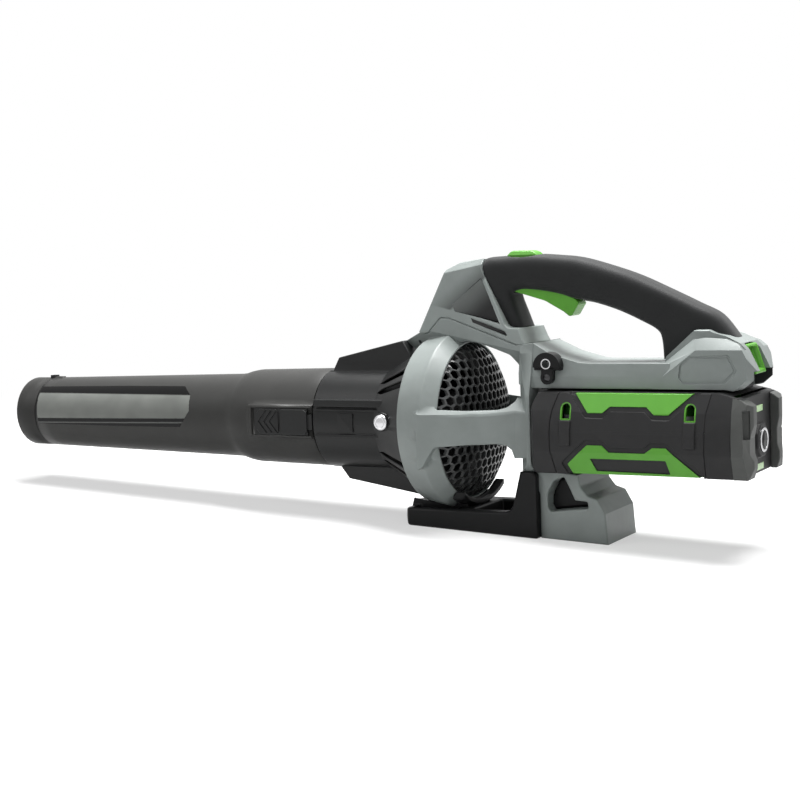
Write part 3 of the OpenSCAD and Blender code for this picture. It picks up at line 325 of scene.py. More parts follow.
COARSE = 0.00006
GREY = (0.215, 0.24, 0.232)
SHELL_GREY = (0.235, 0.262, 0.253)
CHARCOAL = (0.034, 0.034, 0.0326)
finishes = {
    "housing": moulded("housing", GREY, 0.42, 0.35),
    "shell": moulded("shell", SHELL_GREY, 0.4, 0.35),
    "tube": moulded("tube", CHARCOAL, 0.46, 0.16),
    "duct": moulded("duct", (0.01, 0.0104, 0.0104), 0.34, 0.22),
    "black": moulded("black", (0.009, 0.0093, 0.0096), 0.4, 0.12),
    "inner": moulded("inner", (0.005, 0.005, 0.0052), 0.5, 0.1),
    "green": moulded("green", (0.092, 0.32, 0.03), 0.36, 0.3, 0.00001, 0.04),
    "pack": moulded("pack", (0.021, 0.021, 0.0215), 0.5, 0.18, COARSE, 0.1, 1600),
    "soft_grip": moulded("soft_grip", (0.013, 0.0137, 0.014), 0.62, 0.16, 0.0001, 0.12, 1100),
    "ring": moulded("ring", (0.026, 0.026, 0.025), 0.45, 0.18),
    "ribs": moulded("ribs", (0.062, 0.065, 0.062), 0.5, 0.3, COARSE, 0.1, 1600),
    "honeycomb": moulded("honeycomb", (0.05, 0.052, 0.052), 0.3, 0.4),
}
finishes["soft_grip"].put(Sheen_Weight=0.16, Sheen_Roughness=0.45)
print("moulded finishes", len(finishes))

# %% [markdown]
# ## Painted dark places and painted shade on the grey shells
#
# Some places on the grey shells are painted near black. A mask made of plain distances along the air
# axis paints them on the shell's own finish: the undercut below the battery release, painted shade that
# makes the shallow slot above the intake look deep, and a soft painted shade round the side scoop.
# Outlines give places along and up.

# %% Masks by distance
def side_of(along, up, start, end):
    """How far a point lies to the left of the line from start to end, seen from the near side."""
    run, rise = end[0] - start[0], end[1] - start[1]
    length = math.hypot(run, rise)
    return up * (run / length) - along * (rise / length) + (start[0] * rise - start[1] * run) / length


def within(along, up, outline, blur=0.25):
    """1 inside an outline whose corners go round anticlockwise."""
    mask = 1
    for start, end in zip(outline, outline[1:] + outline[:1]):
        mask = side_of(along, up, start, end).above(0, blur) * mask
    return mask


NIGHT = (0.004, 0.004, 0.0042)
CRISP = 0.3
UNDERCUT = {"from": 327, "half": 28.6, "top": 52.4}
SEAM = -509.6
SCOOP = [(33, 118), (36, 111), (90.5, 97.8), (66, 143.5)]
SHADE_FLOOR = ((33, 112), (92, 98))
SHADE_DEPTH = 0.75
SLOT = [(55.3, 104.4), (57.7, 99.9), (97.2, 86.3), (95, 90.6)]

body = finishes["housing"]
along, side, up = body.along(), body.beside(), body.up()
undercut = (along.above(UNDERCUT["from"], CRISP) * (1 - side.above(UNDERCUT["half"], CRISP))
            * (1 - up.above(UNDERCUT["top"], CRISP)))
body.put(Base_Color=body.mix(undercut, body.mottle(GREY), NIGHT))

shell = finishes["shell"]
along, side, up = shell.along(), shell.beside(), shell.up()
from_scoop = side_of(along, up, SCOOP[0], SCOOP[3])
# painted shade: the shell darkens in a soft band beside the scoop's upper-left edge, as shade round the
# concave scoop
shade = (1 - from_scoop.above(6, 13)) * from_scoop.above(-3, 2) * side.above(14, 2)
shade = shade * side_of(along, up, *SHADE_FLOOR).above(0, 1) * SHADE_DEPTH
tone_with_painted_light = shell.mix(shade, shell.mottle(SHELL_GREY), NIGHT)
# painted shade: the floor of the slot above the intake is painted near black, so the shallow slot looks
# deep
shell.put(Base_Color=shell.mix(within(along, up, SLOT) * side.above(10, 1), tone_with_painted_light, NIGHT))

scoop = moulded("scoop", SHELL_GREY, 0.42, 0.3)
# partly the insert's own dark colour and partly painted shade: grey at the upper left to near black at
# the lower right, where the concave scoop lies deepest in shade
depth = side_of(scoop.along(), scoop.up(), SCOOP[3], SCOOP[0]).above(15, 15)
scoop.put(Base_Color=scoop.mix(depth, scoop.mottle((0.12, 0.13, 0.126)), NIGHT))
finishes["scoop"] = scoop

tube = finishes["tube"]
seam = 1 - tube.along().above(SEAM, 0.2)
tube.put(Base_Color=tube.mix(seam, tube.mottle(CHARCOAL), NIGHT))
print("masks on", [finish.material.name for finish in (body, shell, scoop, tube)])


# %% Metals
DRIFT = 0.11


def metal(name, colour, gloss, stretch, scale=260, depth=0.000012):
    """Turned or brushed metal: noise drawn out along the tool's way."""
    finish = Finish(name, Metallic=1.0)
    marks = finish.noise(scale, 4.0, stretch)
    finish.put(Base_Color=finish.mottle(colour, 0.05, 20), Normal=finish.bump(marks, depth),
               Roughness=marks * (2 * DRIFT) + (gloss - DRIFT))
    return finish


finishes["steel"] = metal("steel", (0.52, 0.52, 0.53), 0.2, (1, 8, 1))
finishes["dark_steel"] = metal("dark_steel", (0.05, 0.05, 0.052), 0.4, (1, 1, 1))
finishes["alloy"] = metal("alloy", (0.6, 0.6, 0.61), 0.42, (1, 1, 1), 600, 0.00004)
finishes["contacts"] = metal("contacts", (0.85, 0.62, 0.28), 0.26, (1, 1, 12))

# %% [markdown]
# ## Copper, board, cells and windows
#
# The pieces inside show only through slots and windows, yet each has the mark of how it is made: wound
# wire, printed tracks, a shrunk sleeve with a printed band, and clear plastic with a frosted back.

# %% Inner finishes
def banded(way, period, share, blur):
    """Bands at every period along one of the machine's directions, each a share of it wide."""
    turns = way * (1 / period)
    saw = turns - turns.join("FLOOR")
    return saw.above(0.5 * share, blur) * (1 - saw.above(1.5 * share, blur))


copper = Finish("windings", Metallic=1.0)
wires = banded(copper.along(), 1.6, 0.5, 0.2)
copper.put(Base_Color=copper.mix(wires, (0.25, 0.09, 0.03), (0.72, 0.33, 0.14)),
           Roughness=copper.rough(0.34, 0.08), Normal=copper.bump(wires, 0.0003))
finishes["windings"] = copper

board = Finish("board", Coat_Weight=0.4)
tracks = board.noise(90, 0.0, (1, 6, 1)).above(0.52, 0.02)
board.put(Base_Color=board.mix(tracks, (0.012, 0.09, 0.035), (0.03, 0.2, 0.075)),
          Roughness=board.rough(0.36, 0.06), Normal=board.bump(tracks, 0.00004))
finishes["board"] = board

cells = Finish("cells", Coat_Weight=0.3)
band = banded(cells.up(), 66, 0.12, 0.01)
cells.put(Base_Color=cells.mix(band, (0.03, 0.14, 0.02), (0.6, 0.6, 0.62)),
          Roughness=cells.rough(0.3, 0.05), Normal=cells.bump(cells.noise(140), 0.0001))
finishes["cells"] = cells

window = Finish("window", IOR=1.5)
frost = window.noise(420, 2.0)
window.put(Base_Color=window.mix(frost, (0.36, 0.62, 0.25), (0.62, 0.85, 0.5)),
           Roughness=window.rough(0.2, 0.05), Normal=window.bump(frost, 0.00004),
           Emission_Color=window.mix(frost, (0.02, 0.05, 0.01), (0.05, 0.1, 0.03)))
finishes["window"] = window

for node, slot in slot_of_node.items():
    materials = frame["nodes"][node].data.materials
    materials.clear()
    materials.append(finishes[slot].material)
print("slots", sorted(finishes))


# %% [markdown]
# ## Rounded edges
#
# No moulded edge is sharp, and the line of light on a rounded edge makes a part read as plastic. A
# bevel of one width would fold over itself on narrow ribs, so every edge gets as much as the faces
# beside it have room for. The seam between two half shells keeps nearly square edges, as a real
# parting line does. Each try is then checked for places where the bevel has folded or shot out. The
# edges beside them get less, and what still stands off at the end is drawn back to the plain shape.

# %% Meshes and pieces
SAME_SPOT = 2e-6


def shape_of(name):
    """A node's mesh as a shape to work on, with its loose triangles joined."""
    shape = bmesh.new()
    shape.from_mesh(frame["nodes"][name].data)
    bmesh.ops.remove_doubles(shape, verts=shape.verts, dist=SAME_SPOT)
    return shape


def mesh_of(shape, name):
    """A mesh made from a shape, which is let go."""
    mesh = bpy.data.meshes.new(name)
    shape.to_mesh(mesh)
    shape.free()
    return mesh


def closed_mesh(shape, name):
    """The same for a closed skin whose faces are first turned outwards."""
    bmesh.ops.recalc_face_normals(shape, faces=shape.faces)
    return mesh_of(shape, name)


def placed(name, mesh):
    piece = bpy.data.objects.new(name, mesh)
    scene.collection.objects.link(piece)
    return piece


def smooth_shade(mesh, angle):
    """Smooth shading that keeps edges sharper than an angle in degrees."""
    mesh.shade_smooth()
    mesh.set_sharp_from_angle(angle=math.radians(angle))


# %% Room for a bevel
def room_beside(edge):
    """The free distance from an edge's middle to what lies across its two faces."""
    a, b = (v.co for v in edge.verts)
    middle, along = (a + b) / 2, (b - a).normalized()
    least = 1.0
    for face in edge.link_faces:
        for other in face.edges:
            if other is edge:
                continue
            p, q = (v.co for v in other.verts)
            line = q - p
            if set(other.verts) & set(edge.verts):
                turn = abs(along.cross(line.normalized()).length)
                if turn > 0.6:
                    least = min(least, line.length * turn)
            else:
                share = max(0.0, min(1.0, (middle - p).dot(line) / max(line.length_squared, 1e-12)))
                least = min(least, (p + line * share - middle).length)
    return least


# %% Bevels that fit
# Lengths are in metres. ROOM and the three stray limits are measured in bevel widths.
FLAT, LEAST_ANGLE = math.radians(0.8), math.radians(11.5)
ROOM = 2.4
SEAM_WIDTH, LEAST_WIDTH = 0.25 * MM, 0.12 * MM
MIDDLE_PLANE = 2e-5
TRIES, GENTLE_TRIES, SHRINK = 5, 2, 0.4
STRAY_FACE, STRAY_CORNER, BESIDE_STRAY = 0.5, 0.55, 1.3
SPECK, MOST_SPOTS = 1e-8, 200
SEGMENTS, KEEP_SHARP = 2, 38


def softened(name, width):
    """A copy of a node's shape with its edges rounded by up to a width in millimetres."""
    width = width * MM
    shape = shape_of(name)
    bmesh.ops.dissolve_limit(shape, angle_limit=FLAT, verts=shape.verts, edges=shape.edges)
    plain = BVHTree.FromBMesh(shape)
    weight = shape.edges.layers.float.new("bevel_weight_edge")
    for edge in shape.edges:
        if len(edge.link_faces) != 2 or edge.calc_face_angle(0) < LEAST_ANGLE:
            continue
        share = min(1.0, room_beside(edge) / (ROOM * width))
        if all(abs(v.co.y) < MIDDLE_PLANE for v in edge.verts):
            share = min(share, SEAM_WIDTH / width)
        edge[weight] = share if share * width > LEAST_WIDTH else 0.0
    counts = []
    for attempt in range(TRIES):
        mesh = bpy.data.meshes.new(name + "_rounded")
        shape.to_mesh(mesh)
        piece = rounded(name, mesh, width)
        spots = stray(piece.data, plain, width)
        counts.append(len(spots))
        if not spots or attempt == TRIES - 1:
            break
        for edge in shape.edges:
            if edge[weight] and any(near_edge(s, edge) < BESIDE_STRAY * width for s in spots):
                edge[weight] = edge[weight] * SHRINK if attempt < GENTLE_TRIES else 0.0
        bpy.data.objects.remove(piece)
    for vertex in piece.data.vertices:
        spot, _, _, distance = plain.find_nearest(vertex.co)
        if distance > STRAY_FACE * width:
            vertex.co = spot
    print(name, "rounded, stray places at each try", counts)
    shape.free()
    return piece


def near_edge(spot, edge):
    """The distance from a place to an edge."""
    a, b = (v.co for v in edge.verts)
    run = b - a
    share = max(0.0, min(1.0, (spot - a).dot(run) / max(run.length_squared, 1e-12)))
    return (a + run * share - spot).length


def stray(mesh, plain, width):
    """Places where a bevel has folded over itself or shot away from the plain shape."""
    spots = []
    mesh.calc_loop_triangles()
    for face in mesh.loop_triangles:
        centre = Vector(face.center)
        _, normal, _, distance = plain.find_nearest(centre)
        folded = normal.dot(face.normal) < -0.5
        if face.area > SPECK and (distance > STRAY_FACE * width or folded):
            spots.append(centre)
    for vertex in mesh.vertices:
        if plain.find_nearest(vertex.co)[3] > STRAY_CORNER * width:
            spots.append(vertex.co.copy())
    return spots[:MOST_SPOTS]


def rounded(name, mesh, width):
    """The mesh after a bevel by weight and smooth shading, as a finished piece."""
    piece = placed(name + "_finished", mesh)
    bevel = piece.modifiers.new("bevel", "BEVEL")
    bevel.limit_method, bevel.width, bevel.segments = "WEIGHT", width, SEGMENTS
    bevel.use_clamp_overlap, bevel.harden_normals = False, False
    bevel.miter_outer = "MITER_ARC"
    smooth_shade(mesh, KEEP_SHARP)
    normals = piece.modifiers.new("normals", "WEIGHTED_NORMAL")
    normals.keep_sharp, normals.weight = True, 60
    return settle(piece)


def settle(piece):
    """Turns a piece with live modifiers into a plain mesh."""
    view = bpy.context.evaluated_depsgraph_get()
    mesh = bpy.data.meshes.new_from_object(piece.evaluated_get(view))
    piece.modifiers.clear()
    piece.data = mesh
    return piece


FINISH_OF = {"nozzle_ring": "ring", "pack_bumpers": "ribs", "intake_grille": "honeycomb",
             "side_inserts": "scoop", "lug_screw": "dark_steel"}


def stands_for(piece, *nodes):
    """Gives a piece its finish and body, and hides the plain nodes that it stands for."""
    slot = slot_of_node[nodes[0]]
    piece.data.materials.clear()
    piece.data.materials.append(finishes[FINISH_OF.get(nodes[0], slot)].material)
    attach(piece, body_of_node[nodes[0]])
    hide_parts(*nodes)
    print(piece.name, "stands for", *nodes, "with", len(piece.data.polygons), "faces")


# %% Round the moulded parts
WIDTHS = {
    "housing_left": 1.6, "housing_right": 1.6, "handle_shell_left": 1.3, "handle_shell_right": 1.3,
    "base_stand": 2.5, "outlet_duct": 0.9, "pack_shell_upper": 1.3, "pack_shell_lower": 1.3,
    "pack_front_cap": 1.6, "pack_rear_cap": 1.6, "pack_bumpers": 0.8, "pack_inlays": 0.5,
    "trigger": 1.6, "boost_button": 1.2, "battery_release": 1.0, "tube_latch": 0.5,
    "strap_lug": 1.0, "side_inserts": 0.6, "gauge_ring": 0.5, "gauge_windows": 0.4,
}
for name, width in WIDTHS.items():
    stands_for(softened(name, width), name)


# %% [markdown]
# ## Smooth shading of the round parts
#
# The tube, the ring and the metal parts are right as they are. They only need smooth shading, and their
# own meshes are left alone, so each gets it on a copy.

# %% Smooth copies
def smoothed(name):
    mesh = mesh_of(shape_of(name), name + "_smooth")
    smooth_shade(mesh, 30)
    return placed(name + "_smooth", mesh)


for name in ("blow_tube", "nozzle_ring", "intake_grille", "lug_eyelet", "motor_housing", "tail_cone",
             "fan_shroud", "motor_end_plate", "motor_stator", "motor_rotor", "motor_bearings",
             "pack_cells", "pack_vent_liners", "gauge_button", "lug_screw", "fan_nut"):
    stands_for(smoothed(name), name)


# %% [markdown]
# ## The soft grip
#
# The grip is rubber moulded over the handle: a thick band that swells behind the trigger and thins
# towards its ends. Its sections are laid through a few stations and joined by a smooth curve, which
# keeps the swell even. The rooms of the trigger, the button and the housing are then cut out of it.

# %% Stations of the grip
PACK_END = 348
STATIONS = [
    ((83, 89), (110.5, 89)), ((77, 108), (103.5, 108)), ((70, 128), (98.5, 121.5)),
    ((62, 148), (98.5, 128)), ((66, 162), (107, 130.5)), ((88, 164.5), (118, 130)),
    ((118, 165.5), (132, 128)), ((145, 163.5), (147, 125)), ((168, 160.5), (163, 120)),
    ((196, 152.5), (184, 116)), ((226, 142), (207, 108.5)),
    ((PACK_END - 92, 128), (PACK_END - 118, 98.5)), ((PACK_END - 64, 114.5), (PACK_END - 102, 89.5)),
    ((PACK_END - 42, 103), (PACK_END - 98, 80)), ((PACK_END - 25, 82), (PACK_END - 97, 62))]
GRIP_HALF = 18
STEPS, SIDES = 5, 40
FRONT_POWER, POWER_RISE, GRIP_POWER, REAR_POWER = 0.38, 0.06, 0.62, 0.5
REAR_STATIONS = 4


def spline(points, t):
    """A Catmull-Rom curve through the points, at t stations from the first."""
    last = len(points) - 1
    k = min(int(t), last - 1)
    u = t - k
    p0, p1, p2, p3 = (Vector(points[max(0, min(last, k + d))]) for d in (-1, 0, 1, 2))
    return 0.5 * (2 * p1 + (p2 - p0) * u + (2 * p0 - 5 * p1 + 4 * p2 - p3) * u * u
                  + (3 * p1 - p0 - 3 * p2 + p3) * u ** 3)


def loft(rings, name):
    """A closed skin through rings of equal count."""
    shape = bmesh.new()
    rows = [[shape.verts.new(p) for p in ring] for ring in rings]
    sides = len(rows[0])
    for a, b in zip(rows, rows[1:]):
        for k in range(sides):
            shape.faces.new((a[k], a[(k + 1) % sides], b[(k + 1) % sides], b[k]))
    shape.faces.new(rows[0])
    shape.faces.new(rows[-1])
    return closed_mesh(shape, name)


def power_of(t, last):
    """The power of a section's outline: 1 gives an ellipse, and less gives squarer sides."""
    past = t - (last - REAR_STATIONS)
    if past < 0:
        return min(GRIP_POWER, FRONT_POWER + POWER_RISE * t)
    return GRIP_POWER - (GRIP_POWER - REAR_POWER) * min(1.0, past)


def grip_rings():
    outer, inner = [s[0] for s in STATIONS], [s[1] for s in STATIONS]
    last = len(STATIONS) - 1
    rings = []
    for i in range(last * STEPS + 1):
        t = i / STEPS
        power = power_of(t, last)
        a, b = spline(outer, t), spline(inner, t)
        middle, reach = (a + b) / 2, (a - b) / 2
        ring = []
        for k in range(SIDES):
            angle = 2 * math.pi * (k + 0.5) / SIDES
            c, s = math.cos(angle), math.sin(angle)
            spot = middle + reach * math.copysign(abs(c) ** power, c)
            side = GRIP_HALF * math.copysign(abs(s) ** power, s)
            ring.append((spot.x * MM, side * MM, spot.y * MM))
        rings.append(ring)
    return rings


# %% [markdown]
# The grip is carved by its neighbours and by plain cutters. The trigger and the button move in rooms of
# their own, and a shallow dish is cut round the button. Outlines give places along and up.

# %% Cut the grip
def slab(outline, half):
    """A cutter: an outline in the machine's side view, as wide as twice the half."""
    shape = bmesh.new()
    sides = [[shape.verts.new((x * MM, y * MM, z * MM)) for x, z in outline] for y in (-half, half)]
    for ring in sides:
        shape.faces.new(ring)
    for k in range(len(outline)):
        n = (k + 1) % len(outline)
        shape.faces.new((sides[0][k], sides[0][n], sides[1][n], sides[1][k]))
    mesh = closed_mesh(shape, "cutter")
    mesh.transform(STANCE)
    return mesh


def carve(piece, *cutters):
    """Takes cutters away from a piece, then keeps its largest part."""
    helpers = [placed("cutter", mesh) for mesh in cutters]
    for helper in helpers:
        cut = piece.modifiers.new("cut", "BOOLEAN")
        cut.operation, cut.solver, cut.object = "DIFFERENCE", "EXACT", helper
    settle(piece)
    for helper in helpers:
        bpy.data.objects.remove(helper)
    shape = bmesh.new()
    shape.from_mesh(piece.data)
    islands, left = [], set(shape.faces)
    while left:
        queue, island = [left.pop()], []
        while queue:
            face = queue.pop()
            island.append(face)
            for edge in face.edges:
                for other in edge.link_faces:
                    if other in left:
                        left.remove(other)
                        queue.append(other)
        islands.append(island)
    islands.sort(key=lambda island: -sum(f.calc_area() for f in island))
    bmesh.ops.delete(shape, geom=[f for island in islands[1:] for f in island], context="FACES")
    shape.to_mesh(piece.data)
    shape.free()


TRIGGER_ROOM = [(92, 147), (92, 131), (98, 127.6), (122, 119.6), (150, 96), (172, 100), (172, 133),
                (166, 142), (128, 147)]
TRIGGER_HALF = 10.4
BUTTON_ROOM = [(90.6, 150), (122.4, 150), (122.4, 180), (90.6, 180)]
BUTTON_HALF = 8.8
DISH_MIDDLE, DISH_RADIUS, DISH_HALF, DISH_SIDES = (106.5, 248.5), 86, 30, 48
turns = [k / DISH_SIDES * 2 * math.pi for k in range(DISH_SIDES)]
dish = [(DISH_MIDDLE[0] + DISH_RADIUS * math.cos(a), DISH_MIDDLE[1] + DISH_RADIUS * math.sin(a))
        for a in turns]
NEIGHBOURS = ("handle_shell_left", "handle_shell_right", "housing_left", "housing_right")

grip_mesh = loft(grip_rings(), "grip_smooth")
grip_mesh.transform(STANCE)
grip = placed("grip_smooth", grip_mesh)
carve(grip, *(mesh_of(shape_of(name), "cutter") for name in NEIGHBOURS),
      slab(TRIGGER_ROOM, TRIGGER_HALF), slab(BUTTON_ROOM, BUTTON_HALF), slab(dish, DISH_HALF))
smooth_shade(grip.data, 35)
stands_for(grip, "grip")

# %% [markdown]
# ## The gloss panel of the tube
#
# A polished strip lies along each side of the tube, moulded in one with it but left without the grain.
# It is a thin skin laid on the tube's cone, with two slanted corners at its rear end. Its outline gives
# millimetres from the tube's tip, and degrees round the tube above the level of its axis.

# %% Gloss panel
PANEL = [(30.5, 52.9), (241, 50.5), (254.5, 34.3), (256.7, 10.6), (242.6, -13.5), (33, -16)]
PROUD, SUNK = 0.18, -0.4
CONE_TIP, CONE_ROOT = (29.6, 39.9), (300, 45.4)
PANEL_FROM, PANEL_TO = 28, 260
LOWEST, FAN_OUT, ROWS, COLUMNS = -16.4, 69.6, 40, 60


def cone_radius(x):
    """The tube's radius at a distance from its tip."""
    (x0, r0), (x1, r1) = CONE_TIP, CONE_ROOT
    return r0 + (r1 - r0) * (x - x0) / (x1 - x0)


def on_cone(x, angle, proud, side):
    """A place on the tube, or a little over or under its surface."""
    r = cone_radius(x) + proud
    a = math.radians(angle)
    return Vector(((x - RING) * MM, side * r * math.cos(a) * MM, r * math.sin(a) * MM))


def inside(x, angle):
    """How far a point lies inside the panel's outline, in millimetres."""
    least = 1e9
    for (x0, a0), (x1, a1) in zip(PANEL, PANEL[1:] + PANEL[:1]):
        r = math.radians(cone_radius((x0 + x1) / 2))
        ex, ea = x1 - x0, (a1 - a0) * r
        least = min(least, ((angle - a0) * r * ex - (x - x0) * ea) / -math.hypot(ex, ea))
    return least


def panel_mesh():
    """Rows along the cone, each drawn in to the outline; the rim turns down into the tube."""
    rows = []
    for i in range(ROWS + 1):
        angle = LOWEST + FAN_OUT * i / ROWS
        xs = [x / 2 for x in range(2 * PANEL_FROM, 2 * PANEL_TO) if inside(x / 2, angle) > 0]
        if len(xs) < 2:
            continue
        low, high = xs[0], xs[-1]
        rows.append([(low + (high - low) * k / COLUMNS, angle) for k in range(COLUMNS + 1)])
    shape = bmesh.new()
    for side in (-1, 1):
        skin, base = ([[shape.verts.new(on_cone(x, a, proud, side)) for x, a in row] for row in rows]
                      for proud in (PROUD, SUNK))
        for layer in (skin, base):
            for r0, r1 in zip(layer, layer[1:]):
                for k in range(COLUMNS):
                    shape.faces.new((r0[k], r0[k + 1], r1[k + 1], r1[k]))
        last = len(skin) - 1
        rim = [(0, k) for k in range(COLUMNS)] + [(r, COLUMNS) for r in range(last)]
        rim += [(last, COLUMNS - k) for k in range(COLUMNS)] + [(last - r, 0) for r in range(last)]
        for (r0, k0), (r1, k1) in zip(rim, rim[1:] + rim[:1]):
            shape.faces.new((skin[r0][k0], skin[r1][k1], base[r1][k1], base[r0][k0]))
    mesh = closed_mesh(shape, "tube_gloss_panel")
    mesh.transform(STANCE)
    smooth_shade(mesh, 40)
    return mesh


# %% [markdown]
# The polished face isn't black all over: a reflection is painted on it as a grey band with a dark
# edge above and below, and a thin painted highlight line beneath it. The bands run along the tube and
# close in on each other towards its root, so their edges are given by the angle round the tube at its
# two ends.

# %% Painted reflection bands on the gloss
# The panel's own reflection is kept weak. Its reflection and highlight are painted into the base
# colour.
reflection_painted_panel = Finish("gloss_panel", Specular_IOR_Level=0.1, Coat_Weight=0.08, Coat_Roughness=0.03)
angle = reflection_painted_panel.up().join("ARCTAN2", reflection_painted_panel.beside()) * math.degrees(1)
from_tip = reflection_painted_panel.along() + RING
FRONT_MARK, REAR_MARK = 75, 237


def over_line(front, rear):
    """Above 0 over a line that runs from an angle at the front mark to another at the rear mark."""
    slope = (rear - front) / (REAR_MARK - FRONT_MARK)
    return angle - (from_tip * slope + (front - FRONT_MARK * slope))


# painted reflection: a grey band between two dark edges
band = (1 - over_line(37, 34).above(0, 1.2)) * over_line(-4.5, -0.5).above(0, 0.8)
# painted highlight: a thin bright line beneath the band
line = over_line(-12.6, -7.6).above(0, 0.5) * (1 - over_line(-10.6, -5.6).above(0, 0.5))
cloud = reflection_painted_panel.noise(26, 2.0).above(0.5, 0.3)
reflection_grey = reflection_painted_panel.mix(cloud, (0.15, 0.158, 0.148), (0.205, 0.215, 0.2))
tone_with_painted_light = reflection_painted_panel.mix(line, reflection_painted_panel.mix(band, NIGHT, reflection_grey), (0.1, 0.104, 0.1))
reflection_painted_panel.put(Base_Color=tone_with_painted_light, Roughness=reflection_painted_panel.rough(0.14, 0.03),
          Normal=reflection_painted_panel.bump(reflection_painted_panel.noise(30, 1.0), 0.00003))

panel = placed("tube_gloss_panel", panel_mesh())
panel.data.materials.append(reflection_painted_panel.material)
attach(panel, "tube")
print("panel", len(panel.data.polygons), "faces")

# %% [markdown]
# ## The fan, the screws and the trigger's spring
#
# What repeats is made by Geometry Nodes: one blade is bent and twisted by a formula and set round the
# hub, one screw is set at every boss, and a spring follows a helix. Each tree has its sizes as inputs,
# so that a change of one number changes all the copies.

# %% Geometry trees
class Recipe(Tree):
    """A Geometry Nodes tree with named sizes."""

    def __init__(self, name, **sizes):
        self.tree = bpy.data.node_groups.new(name, "GeometryNodeTree")
        face = self.tree.interface
        face.new_socket("Geometry", in_out="INPUT", socket_type="NodeSocketGeometry")
        face.new_socket("Geometry", in_out="OUTPUT", socket_type="NodeSocketGeometry")
        self.ids = {}
        for key, value in sizes.items():
            kind = "NodeSocketInt" if isinstance(value, int) else "NodeSocketFloat"
            socket = face.new_socket(key, in_out="INPUT", socket_type=kind)
            self.ids[key] = socket.identifier
        self.sizes = sizes
        self.start = self.tree.nodes.new("NodeGroupInput")
        self.end = self.tree.nodes.new("NodeGroupOutput")

    def size(self, key):
        return Sock(self, self.start.outputs[key])

    def base(self):
        return Sock(self, self.start.outputs["Geometry"])

    def joined(self, *parts):
        node = self.tree.nodes.new("GeometryNodeJoinGeometry")
        for part in parts:
            self.tree.links.new(part.socket, node.inputs[0])
        return Sock(self, node.outputs[0])

    def vector(self, x, y, z):
        return self.add("ShaderNodeCombineXYZ", None, {0: x, 1: y, 2: z})

    def close(self, geometry, material):
        solid = self.add("GeometryNodeRealizeInstances", None, {"Geometry": geometry})
        named = self.add("GeometryNodeSetMaterial", None, {"Geometry": solid, "Material": material})
        self.feed(self.end.inputs[0], named)

    def make(self, name, mesh):
        """Runs the tree on a mesh and gives the plain result as a piece."""
        piece = placed(name, mesh)
        shape = piece.modifiers.new("shape", "NODES")
        shape.node_group = self.tree
        for key, identifier in self.ids.items():
            shape[identifier] = self.sizes[key]
        settle(piece)
        piece.data.transform(STANCE)
        smooth_shade(piece.data, 35)
        return piece


TURNED_SIDES = 64


def lathe(profile):
    """A closed turned solid round the air axis, from (radius, along) pairs, in millimetres."""
    shape = bmesh.new()
    turns = [2 * math.pi * k / TURNED_SIDES for k in range(TURNED_SIDES)]
    rings = []
    for r, x in profile:
        spots = [(x * MM, r * MM * math.cos(a), r * MM * math.sin(a)) for a in turns]
        rings.append([shape.verts.new(spot) for spot in (spots if r else spots[:1])])
    for a, b in zip(rings, rings[1:] + ([] if len(rings[0]) == 1 else rings[:1])):
        for k in range(TURNED_SIDES):
            n = (k + 1) % TURNED_SIDES
            corners = [a[k % len(a)], a[n % len(a)], b[n % len(b)], b[k % len(b)]]
            unique = [v for i, v in enumerate(corners) if v not in corners[:i]]
            if len(unique) > 2:
                shape.faces.new(unique)
    return closed_mesh(shape, "turned")


# %% Fan
CHORD_TAPER, EDGE_THINNING = 0.12, 2.6
HUB = [(4.2, 27), (4.2, 14), (26.6, 14), (26.6, -8), (28.4, -8), (29, -7.2), (29, 15), (28, 18.6),
       (25.5, 21.6), (21, 24), (14, 26.4), (8, 27)]
fan = Recipe("fan", Blades=9, Root=0.0288, Tip=0.0553, Chord=0.036, Root_pitch=0.62, Tip_pitch=1.02,
             Camber=0.07, Thickness=0.0017, Middle=0.006)
spot = fan.add("GeometryNodeInputPosition")
apart = fan.tree.nodes.new("ShaderNodeSeparateXYZ")
fan.feed(apart.inputs[0], spot)
u, v, w = (Sock(fan, s) for s in apart.outputs)
u = u + 0.5
radius = fan.size("Root") + (fan.size("Tip") - fan.size("Root")) * u
pitch = fan.size("Root_pitch") + (fan.size("Tip_pitch") - fan.size("Root_pitch")) * u
chord = fan.size("Chord") * (1 - CHORD_TAPER * u)
swell = w * fan.size("Thickness") * (1 - EDGE_THINNING * v * v)
lift = (1 - 4 * v * v) * fan.size("Camber") * chord + swell
c, s = pitch.join("COSINE"), pitch.join("SINE")
along = v * chord * c + lift * s
round_way = (v * chord * s - lift * c).join("DIVIDE", radius)
bent = fan.vector(along + fan.size("Middle"), radius * round_way.join("COSINE"),
                  radius * round_way.join("SINE"))
blank = fan.add("GeometryNodeMeshCube", None, {
    "Size": (1, 1, 1), "Vertices X": 14, "Vertices Y": 12, "Vertices Z": 2})
blade = fan.add("GeometryNodeSetPosition", None, {"Geometry": blank, "Position": bent})
points = fan.add("GeometryNodeMeshLine", None, {"Count": fan.size("Blades"), "Offset": (0, 0, 0)})
index = fan.add("GeometryNodeInputIndex")
step = index * (2 * math.pi)
turn = fan.vector(step.join("DIVIDE", fan.size("Blades")), 0.0, 0.0)
blades = fan.add("GeometryNodeInstanceOnPoints", None, {
    "Points": points, "Instance": blade, "Rotation": turn})
fan.close(fan.joined(fan.base(), blades), finishes["inner"].material)
stands_for(fan.make("fan_bladed", lathe(HUB)), "fan")

